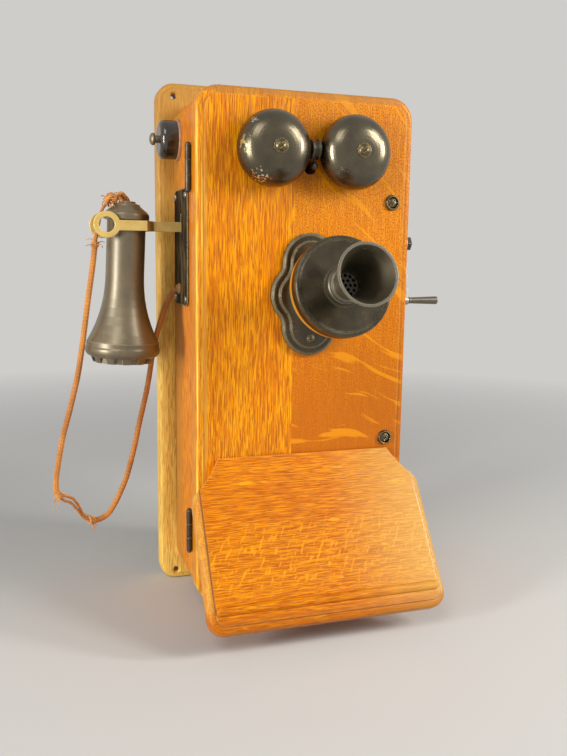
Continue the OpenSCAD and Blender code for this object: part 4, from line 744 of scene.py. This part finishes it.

# The right end paler, partly bleaching and partly a painted sheen.
layer(shelf_oak, band(tree, x, *BLEACH_AND_SHEEN_SPAN), BLEACH_AND_SHEEN, 0.7)
edge = edges(tree, EDGE_R, EDGE_SPOTS)
tree.links.new(edge["Edge"], shader.inputs["Coat Weight"])
layer(shelf_oak, edge["Mask"], SHELF_RUBBED, 0.6)
# Painted shade in the shelf's creases.
layer(shelf_oak, crease_mask(tree, CREASE_REACH), SHELF_CREASE_SHADE, 0.8)
# Painted shade on the front edge below the ledge.
layer(shelf_oak, band(tree, z, *UNDER_LEDGE_SPAN), UNDER_LEDGE_SHADE, 0.5)
from_side = sums(tree, "SUBTRACT", x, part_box("shelf_board")[0][0])
above_corner = band(tree, z, *BORDER_ABOVE)
patchy = band(tree, noise(tree, place, BORDER_PATCHES, 3.0), 0.38, 0.62, 0.15, 0.7)
rubbed = sums(tree, "MULTIPLY", band(tree, from_side, BORDER, BORDER - BORDER_SOFT), patchy)
# The left border paler, partly rubbed wear and partly a painted highlight of a bead.
layer(shelf_oak, sums(tree, "MULTIPLY", rubbed, above_corner), BORDER_RUBBED_AND_LIT)
# A dark line of painted shade where a groove runs beside the border.
off_line = sums(tree, "ABSOLUTE", sums(tree, "SUBTRACT", from_side, BORDER))
on_groove_shade = sums(tree, "MULTIPLY", band(tree, off_line, *GROOVE_SHADE_LINE), above_corner)
layer(shelf_oak, on_groove_shade, SHELF_CREASE_SHADE, 0.75)
print("shelf finish has", len(tree.nodes), "nodes")

# %% [markdown]
# The case is orange near the door and grey-brown towards the wall, and that grey-brown is painted shade.
# The back board is paler, partly its own drier wood and partly painted light, as the lamp only grazes it,
# and darker towards its top, which is painted shade. The inner blocks are bare wood.
# Each could have a tree of its own, but they differ only in colour and shine,
# so one function makes all three.

# %% Case, back board and bare wood
BOARD_COVER = 0.85
BOARD_SPOTS = 140.0
CASE_SAWN = ((0.92, 0.345, 0.003), (0.64, 0.17, 0.001), (0.44, 0.09, 0.001))
# The back board's colours are paler than its wood, partly painted light, as the lamp only grazes the
# board.
BACK_SAWN = ((1.0, 0.72, 0.175), (0.92, 0.56, 0.110), (0.64, 0.34, 0.062))
BARE_SAWN = ((0.52, 0.32, 0.15), (0.38, 0.21, 0.09), (0.20, 0.10, 0.04))
CASE_REAR_SHADE = (0.44, 0.21, 0.045)
CASE_SHADE_SPAN = (-0.042, -0.018)
CASE_CLOUDS = (30, 60, 4)
CASE_CLOUDS_BY = 0.03
BACK_TOP_SHADE = (0.38, 0.15, 0.024)
BACK_SHADE_SPAN = (-0.04, 0.17)


def plain_oak(name, colours, rough, edge_colour):
    """Oak with worn edges and painted shade in its corners."""
    finish, tree, shader = new_finish(name, Specular_IOR_Level=0.28)
    grain = oak_layer(tree, place_of(tree), colours, LONG_PORES, BOARD_COVER)
    tree.links.new(grain["Color"], shader.inputs["Base Color"])
    layer(finish, edges(tree, EDGE_R, BOARD_SPOTS)["Mask"], edge_colour)
    # Painted shade in the corners.
    layer(finish, crease_mask(tree, CREASE_REACH), colours[2], 0.6)
    dull_pores = band(tree, grain["Height"], 0.0, 1.0, rough + 0.15, rough)
    tree.links.new(dull_pores, shader.inputs["Roughness"])
    bump(tree, shader, grain["Height"], GRAIN_DEPTH, 0.45, SOFT_EDGE)
    return finish


case_oak = plain_oak("case_oak", CASE_SAWN, 0.38, (0.80, 0.44, 0.08))
tree = case_oak.node_tree
cloudy = noise(tree, place_of(tree), CASE_CLOUDS)
to_wall = sums(tree, "MULTIPLY_ADD", cloudy, CASE_CLOUDS_BY, along_axis(tree, "Y"))
# Painted shade over the case's rear, towards the wall.
layer(case_oak, band(tree, to_wall, *CASE_SHADE_SPAN), CASE_REAR_SHADE, 0.75)
dress(case_oak, "case_left_side", "case_right_side", "case_top", "case_bottom")

back_oak = plain_oak("back_oak", BACK_SAWN, 0.45, (0.85, 0.52, 0.15))
tree = back_oak.node_tree
# Painted shade darkening the back board towards its top.
layer(back_oak, band(tree, along_axis(tree, "Z"), *BACK_SHADE_SPAN), BACK_TOP_SHADE, 0.74)
dress(back_oak, "back_board")

bare_wood = plain_oak("bare_wood", BARE_SAWN, 0.6, (0.55, 0.38, 0.20))
dress(bare_wood, "closing_blocks", "terminal_strip", "generator_base")
print("finishes:", case_oak.name, back_oak.name, bare_wood.name)

# %% [markdown]
# Most of the small pieces are one material that has aged: metal, black japan, hard rubber or paint.
# Each could be built from nothing, but they age alike, so one function makes such a finish from
# a main and a second colour that wander into each other, a range of roughness, a fine grain that bumps,
# and a colour that shows where the edges are rubbed.

# %% Aged finish
EVEN_GRAIN = (900, 900, 900)
BRUSHED = (120, 1500, 1500)
FINE_SPOTS = 400.0
WARM_SHINE = (1.0, 0.90, 0.70, 1)


def aged(name, main, second, rough, metallic=0.0, repeats=60.0, edge=None, grain=EVEN_GRAIN,
         depth=0.00005, edge_radius=0.0012, **sockets):
    """One material with wandering colour and shine, fine bumps and rubbed edges."""
    finish, tree, shader = new_finish(name, Metallic=metallic, **sockets)
    place = place_of(tree)
    cloud = noise(tree, place, (repeats, repeats, repeats), 4.0)
    wandering = mix(tree, band(tree, cloud, 0.35, 0.65), main, second)
    tree.links.new(wandering, shader.inputs["Base Color"])
    if edge:
        layer(finish, edges(tree, edge_radius, FINE_SPOTS)["Mask"], edge)
    fine = noise(tree, place, grain, 2.0)
    shine = sums(tree, "ADD", sums(tree, "MULTIPLY", cloud, 0.6), sums(tree, "MULTIPLY", fine, 0.4))
    tree.links.new(band(tree, shine, 0.3, 0.7, *rough), shader.inputs["Roughness"])
    bump(tree, shader, fine, depth, 0.5, edge_radius)
    return finish


print("aged finishes have a grain of", EVEN_GRAIN, "or, brushed, of", BRUSHED, "repeats a metre")

# %% [markdown]
# Steel and iron first. The crank's arm and the small screws are bright and brushed along X,
# the hinges, the crank's nut and the clapper's rod are nearly black, and the castings inside are iron.
# An anisotropic shader could show the brushing, but a stretched bump does it and exports too.

# %% Steel and iron
steel = aged("steel", (0.42, 0.40, 0.37), (0.30, 0.28, 0.25), (0.28, 0.46), 1.0, grain=BRUSHED)
dress(steel, "hook_plate_screws", "hook_pivot_pin", "receiver_diaphragm", "crank_shaft", "crank_arm",
      "pinion", "gong_posts", "clapper_pivot_pin")
dark_steel = aged("dark_steel", (0.10, 0.09, 0.075), (0.05, 0.043, 0.035), (0.3, 0.5), 0.8,
                  edge=(0.35, 0.31, 0.25))
dress(dark_steel, "hinge_case_leaves", "hinge_door_leaves", "hinge_pins", "clapper_rod",
      "transmitter_pivot_screw", "crank_nut")
iron = aged("iron", (0.16, 0.15, 0.14), (0.09, 0.075, 0.06), (0.45, 0.65), 0.7, edge=(0.34, 0.31, 0.28))
dress(iron, "receiver_magnet", "pole_pieces", "ringer_frame", "clapper_armature", "armature")
print("finishes:", steel.name, dark_steel.name, iron.name)

# %% [markdown]
# The works inside are plain brass. The transmitter's cup is brighter, with a black band round its front,
# which could be a ring of its own, but it is only paint, so a layer follows the cup's axis.
# The door's and gongs' screws are dark bronze, with painted shade in their slots, and the push button is
# worn brass.

# %% Brass and bronze
CUP_AXIS = Vector((0, -0.98, 0.2))
PAINT_FROM = 0.0088
PAINT_WHOLE = 0.0082
BLACK_PAINT = (0.012, 0.009, 0.005)
SLOT_SHADE = (0.012, 0.008, 0.004)
SLOT_SHADE_REACH = 0.0012

brass = aged("brass", (0.62, 0.42, 0.15), (0.46, 0.29, 0.09), (0.28, 0.45), 1.0, grain=BRUSHED)
dress(brass, "hook_bracket", "switch_springs", "crank_bushing", "drive_gear", "generator_end_plates",
      "terminal_screws")

cup_brass = aged("cup_brass", (0.78, 0.54, 0.12), (0.70, 0.46, 0.09), (0.3, 0.42), 0.6)
cup_rim = max(v.co.dot(CUP_AXIS) for v in nodes["transmitter_cup"].data.vertices)
tree = cup_brass.node_tree
on_axis = {0: place_of(tree), 1: CUP_AXIS}
to_front = step(tree, "VectorMath", on_axis, operation="DOT_PRODUCT").outputs["Value"]
layer(cup_brass, band(tree, to_front, cup_rim - PAINT_FROM, cup_rim - PAINT_WHOLE), BLACK_PAINT)
dress(cup_brass, "transmitter_cup")

bronze = aged("bronze", (0.17, 0.133, 0.072), (0.095, 0.073, 0.040), (0.26, 0.42), 0.9, 500.0,
              edge=(0.55, 0.46, 0.28), edge_radius=0.0006)
# Painted shade in the screws' slots.
layer(bronze, crease_mask(bronze.node_tree, SLOT_SHADE_REACH), SLOT_SHADE)
dress(bronze, "door_screws", "gong_screws")

button_brass = aged("button_brass", (0.34, 0.28, 0.19), (0.20, 0.16, 0.11), (0.35, 0.55), 0.9, 300.0,
                    edge=(0.58, 0.50, 0.36))
dress(button_brass, "push_button")
print("finishes:", [m.name for m in (brass, cup_brass, bronze, button_brass)])

# %% [markdown]
# The hook's fork is pale brass, matt from handling, with a painted dark reflection where it bends.
# That could come from the crease mask, but the bend is too wide for it, so its place is given.

# %% Fork
FORK_REFLECTION_X = -0.126
FORK_REFLECTION_WIDTH = (0.0045, 0.001)
FORK_DARK_REFLECTION = (0.16, 0.11, 0.03)

fork_brass = aged("fork_brass", (0.76, 0.56, 0.19), (0.66, 0.46, 0.14), (0.42, 0.56), 0.5, 90.0,
                  edge=(0.80, 0.63, 0.28), grain=BRUSHED)
tree = fork_brass.node_tree
# A painted dark reflection where the fork bends.
off_reflection = sums(tree, "ABSOLUTE", sums(tree, "SUBTRACT", along_axis(tree, "X"), FORK_REFLECTION_X))
layer(fork_brass, band(tree, off_reflection, *FORK_REFLECTION_WIDTH), FORK_DARK_REFLECTION, 0.6)
dress(fork_brass, "hook_lever")
print("finish:", fork_brass.name)

# %% [markdown]
# Black japan is a baked varnish on iron: deep black and glossy, and brown where it is thin or rubbed.
# The hook's plate is dull, and rubbed through in large brown patches.
# A clear coat could give the gloss, but one warm tinted highlight is nearer to old varnish.

# %% Black japan
RUBBED_BROWN = (0.16, 0.105, 0.04)
RUBBED_PATCHES = (110, 110, 30)

japan = aged("japan", (0.012, 0.009, 0.005), (0.032, 0.024, 0.013), (0.14, 0.30), 0.0, 70.0,
             edge=(0.22, 0.18, 0.105), edge_radius=0.0028,
             Specular_IOR_Level=0.75, Specular_Tint=WARM_SHINE)
dress(japan, "transmitter_base", "transmitter_base_screws", "transmitter_face")

plate_japan = aged("plate_japan", (0.008, 0.006, 0.004), (0.018, 0.013, 0.008), (0.36, 0.56), 0.0, 110.0,
                   edge=(0.50, 0.40, 0.22), edge_radius=0.002, Specular_IOR_Level=0.02)
tree = plate_japan.node_tree
rubbed = band(tree, noise(tree, place_of(tree), RUBBED_PATCHES, 6.0), 0.48, 0.66)
layer(plate_japan, rubbed, RUBBED_BROWN, 0.75)
dress(plate_japan, "hook_plate")
print("finishes:", japan.name, plate_japan.name)

# %% [markdown]
# The gongs are metal cups, blackened long ago and now gunmetal grey, so they mirror the lamps softly.
# Pale chips sit where the left one was knocked, at its upper and lower left, and a patch is worn yellow.
# The right one has only a few white specks. The chips could be cut into the mesh, but they are no deeper
# than the blacking, so they are layers, and their places follow from the gongs' own box.

# %% Gongs
gong_low, gong_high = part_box("gongs")
gong_r = (gong_high[2] - gong_low[2]) / 2
gong_z = (gong_high[2] + gong_low[2]) / 2
left_x = gong_low[0] + gong_r
right_x = gong_high[0] - gong_r


def on_gong(middle_x, right, up, forward_share):
    """A place on a gong, in shares of its radius and of its height."""
    depth = gong_high[1] + (gong_low[1] - gong_high[1]) * forward_share
    return (middle_x + right * gong_r, depth, gong_z + up * gong_r)


KNOCKS = [
    (on_gong(left_x, -0.62, 0.62, 0.45), 0.008, 620.0, 0.27, (0.80, 0.70, 0.48)),
    (on_gong(left_x, -0.45, -0.72, 0.45), 0.016, 520.0, 0.25, (0.80, 0.66, 0.42)),
    (on_gong(left_x, -0.85, 0.05, 0.45), 0.012, 200.0, 0.30, (0.58, 0.47, 0.16)),
    (on_gong(right_x, -0.45, -0.60, 0.55), 0.020, 900.0, 0.13, (0.78, 0.72, 0.60)),
]
gunmetal = aged("gunmetal", (0.128, 0.107, 0.069), (0.070, 0.058, 0.038), (0.22, 0.34), 0.92, 45.0,
                edge=(0.42, 0.36, 0.26), Coat_Weight=0.45, Coat_Roughness=0.2)
tree = gunmetal.node_tree
for spot, reach, repeats, cover, colour in KNOCKS:
    inputs = {"Vector": place_of(tree), "Place": spot, "Reach": reach, "Repeats": repeats, "Cover": cover}
    layer(gunmetal, step(tree, "Group", inputs, node_tree=chips).outputs[0], colour)
dress(gunmetal, "gongs")
print("gongs:", [round(v, 4) for v in (left_x, right_x, gong_z, gong_r)])

# %% [markdown]
# Hard rubber and ebonite are the black mouldings of the time. The mouthpiece and the crank's grip have
# a broad sheen, the button's housing is still polished, and the receiver has faded to a dull grey-brown,
# streaked along its length. More metal would give the sheen too, but rubber is none, so a rough coat does.

# %% Hard rubber and ebonite
SCUFFED = (0.24, 0.19, 0.12)
SCUFFS = (300, 300, 22)

rubber = aged("rubber", (0.060, 0.049, 0.030), (0.030, 0.025, 0.015), (0.32, 0.44), 0.0, 80.0,
              edge=(0.30, 0.25, 0.17), Specular_IOR_Level=1.0, Specular_Tint=WARM_SHINE,
              Coat_Weight=0.5, Coat_Roughness=0.34, Coat_IOR=1.6)
dress(rubber, "mouthpiece", "crank_grip")

brown_rubber = aged("brown_rubber", (0.014, 0.011, 0.007), (0.036, 0.025, 0.013), (0.10, 0.20),
                    0.0, 160.0, edge=(0.26, 0.20, 0.11), Specular_IOR_Level=0.9)
dress(brown_rubber, "button_housing")

ebonite = aged("ebonite", (0.110, 0.082, 0.044), (0.062, 0.045, 0.023), (0.32, 0.46), 0.0, 55.0,
               edge=(0.34, 0.28, 0.19), Specular_IOR_Level=1.0, Specular_Tint=(1.0, 0.90, 0.66, 1),
               Coat_Weight=0.7, Coat_Roughness=0.4, Coat_IOR=1.7, Coat_Tint=(1.0, 0.97, 0.9, 1))
tree = ebonite.node_tree
scuffs = band(tree, noise(tree, place_of(tree), SCUFFS, 3.0), 0.60, 0.72)
layer(ebonite, scuffs, SCUFFED, 0.35)
dress(ebonite, "receiver_shell", "receiver_ear_cap")
print("finishes:", rubber.name, brown_rubber.name, ebonite.name)

# %% [markdown]
# What is left is small: the ring under the push button was painted pink and is rubbed, the bushing is
# brown fibre, the coils are wrapped in dark red cloth, the magnets are painted, and the condenser
# is a tin can. The cloth could be woven like the cord's braid, but it is never seen from close by,
# so the aged finish serves for all of them, with a deeper bump for the cloth.

# %% Paint, fibre and wrapped coils
CLOTH_GRAIN = (1200, 1200, 1200)

pink_paint = aged("pink_paint", (0.50, 0.30, 0.22), (0.38, 0.20, 0.12), (0.5, 0.7), 0.0, 220.0,
                  edge=(0.62, 0.44, 0.32))
dress(pink_paint, "button_base")
fibre = aged("fibre", (0.34, 0.17, 0.06), (0.22, 0.10, 0.035), (0.55, 0.75), 0.0, 300.0)
dress(fibre, "cord_bushing")
coil_wrap = aged("coil_wrap", (0.20, 0.06, 0.035), (0.13, 0.035, 0.02), (0.6, 0.8), 0.0, 120.0,
                 grain=CLOTH_GRAIN, depth=0.0003)
dress(coil_wrap, "induction_coil", "ringer_coils")
magnet_paint = aged("magnet_paint", (0.24, 0.035, 0.025), (0.16, 0.022, 0.016), (0.4, 0.6), 0.0, 90.0,
                    edge=(0.30, 0.28, 0.26))
dress(magnet_paint, "generator_magnets", "ringer_magnet")
tin = aged("tin", (0.50, 0.49, 0.45), (0.38, 0.36, 0.32), (0.35, 0.55), 0.9, 70.0, edge=(0.6, 0.58, 0.52))
dress(tin, "condenser")
print("finishes:", [m.name for m in (pink_paint, fibre, coil_wrap, magnet_paint, tin)])

# %% [markdown]
# The cord's braid could be modelled thread by thread, but at its size only the pattern shows.
# So it follows the cord's own UV map: two sets of slanted threads cross, and the product of their waves
# gives the diamonds of a braid. Their count comes from the cord's length, so that their size is right.

# %% Braid
STRANDS = 8
DIAMONDS = round(cord_length / (math.pi * CORD_D) * STRANDS / 2)
SOILED = (0.44, 0.17, 0.045)
CLEAN = (0.72, 0.29, 0.06)
SHADE_BETWEEN = (0.26, 0.085, 0.018)
FUZZ = (0.85, 0.50, 0.20)
SOIL_CLOUDS = (34, 34, 34)
FUZZ_GRAIN = (1400, 1400, 1400)

braid, tree, shader = new_finish("braid", Sheen_Weight=0.1, Roughness=0.85)
uv = step(tree, "SeparateXYZ", {0: step(tree, "UVMap").outputs[0]}).outputs
turns = sums(tree, "MULTIPLY", uv["Y"], 2 * math.pi * STRANDS / 2)
lengthways = sums(tree, "MULTIPLY", uv["X"], 2 * math.pi * DIAMONDS)
one_way = sums(tree, "SINE", sums(tree, "ADD", lengthways, turns))
other_way = sums(tree, "SINE", sums(tree, "SUBTRACT", lengthways, turns))
weave = band(tree, sums(tree, "MULTIPLY", one_way, other_way), -1.0, 1.0)
soil = noise(tree, place_of(tree), SOIL_CLOUDS, 4.0)
fuzz = noise(tree, place_of(tree), FUZZ_GRAIN, 2.0)
tree.links.new(mix(tree, band(tree, soil, 0.36, 0.64), SOILED, CLEAN), shader.inputs["Base Color"])
# Painted shade between the threads of the braid.
layer(braid, band(tree, weave, 0.5, 0.1), SHADE_BETWEEN, 0.45)
layer(braid, band(tree, fuzz, 0.60, 0.72), FUZZ, 0.4)
bump(tree, shader, sums(tree, "MULTIPLY_ADD", fuzz, 0.4, weave), 0.0005, 0.6, 0.0002)
cord.data.materials.clear()
cord.data.materials.append(braid)
print("diamonds along the cord:", DIAMONDS)

# %% [markdown]
# The bindings, the parted strands and the knot are frayed cotton, paler than the soiled cord.
# They could share the braid, but they are too thin and short for its diamonds,
# so they get the aged finish, with a fine rough bump.

# %% Frayed cotton
COTTON_GRAIN = (1600, 1600, 1600)

frayed = aged("frayed", (0.74, 0.36, 0.11), (0.52, 0.21, 0.055), (0.75, 0.9), 0.0, 260.0,
              grain=COTTON_GRAIN, depth=0.0004, edge_radius=0.0002)
for piece in bound:
    piece.data.materials.clear()
    piece.data.materials.append(frayed)
print("finish:", frayed.name, "on", len(bound), "pieces")
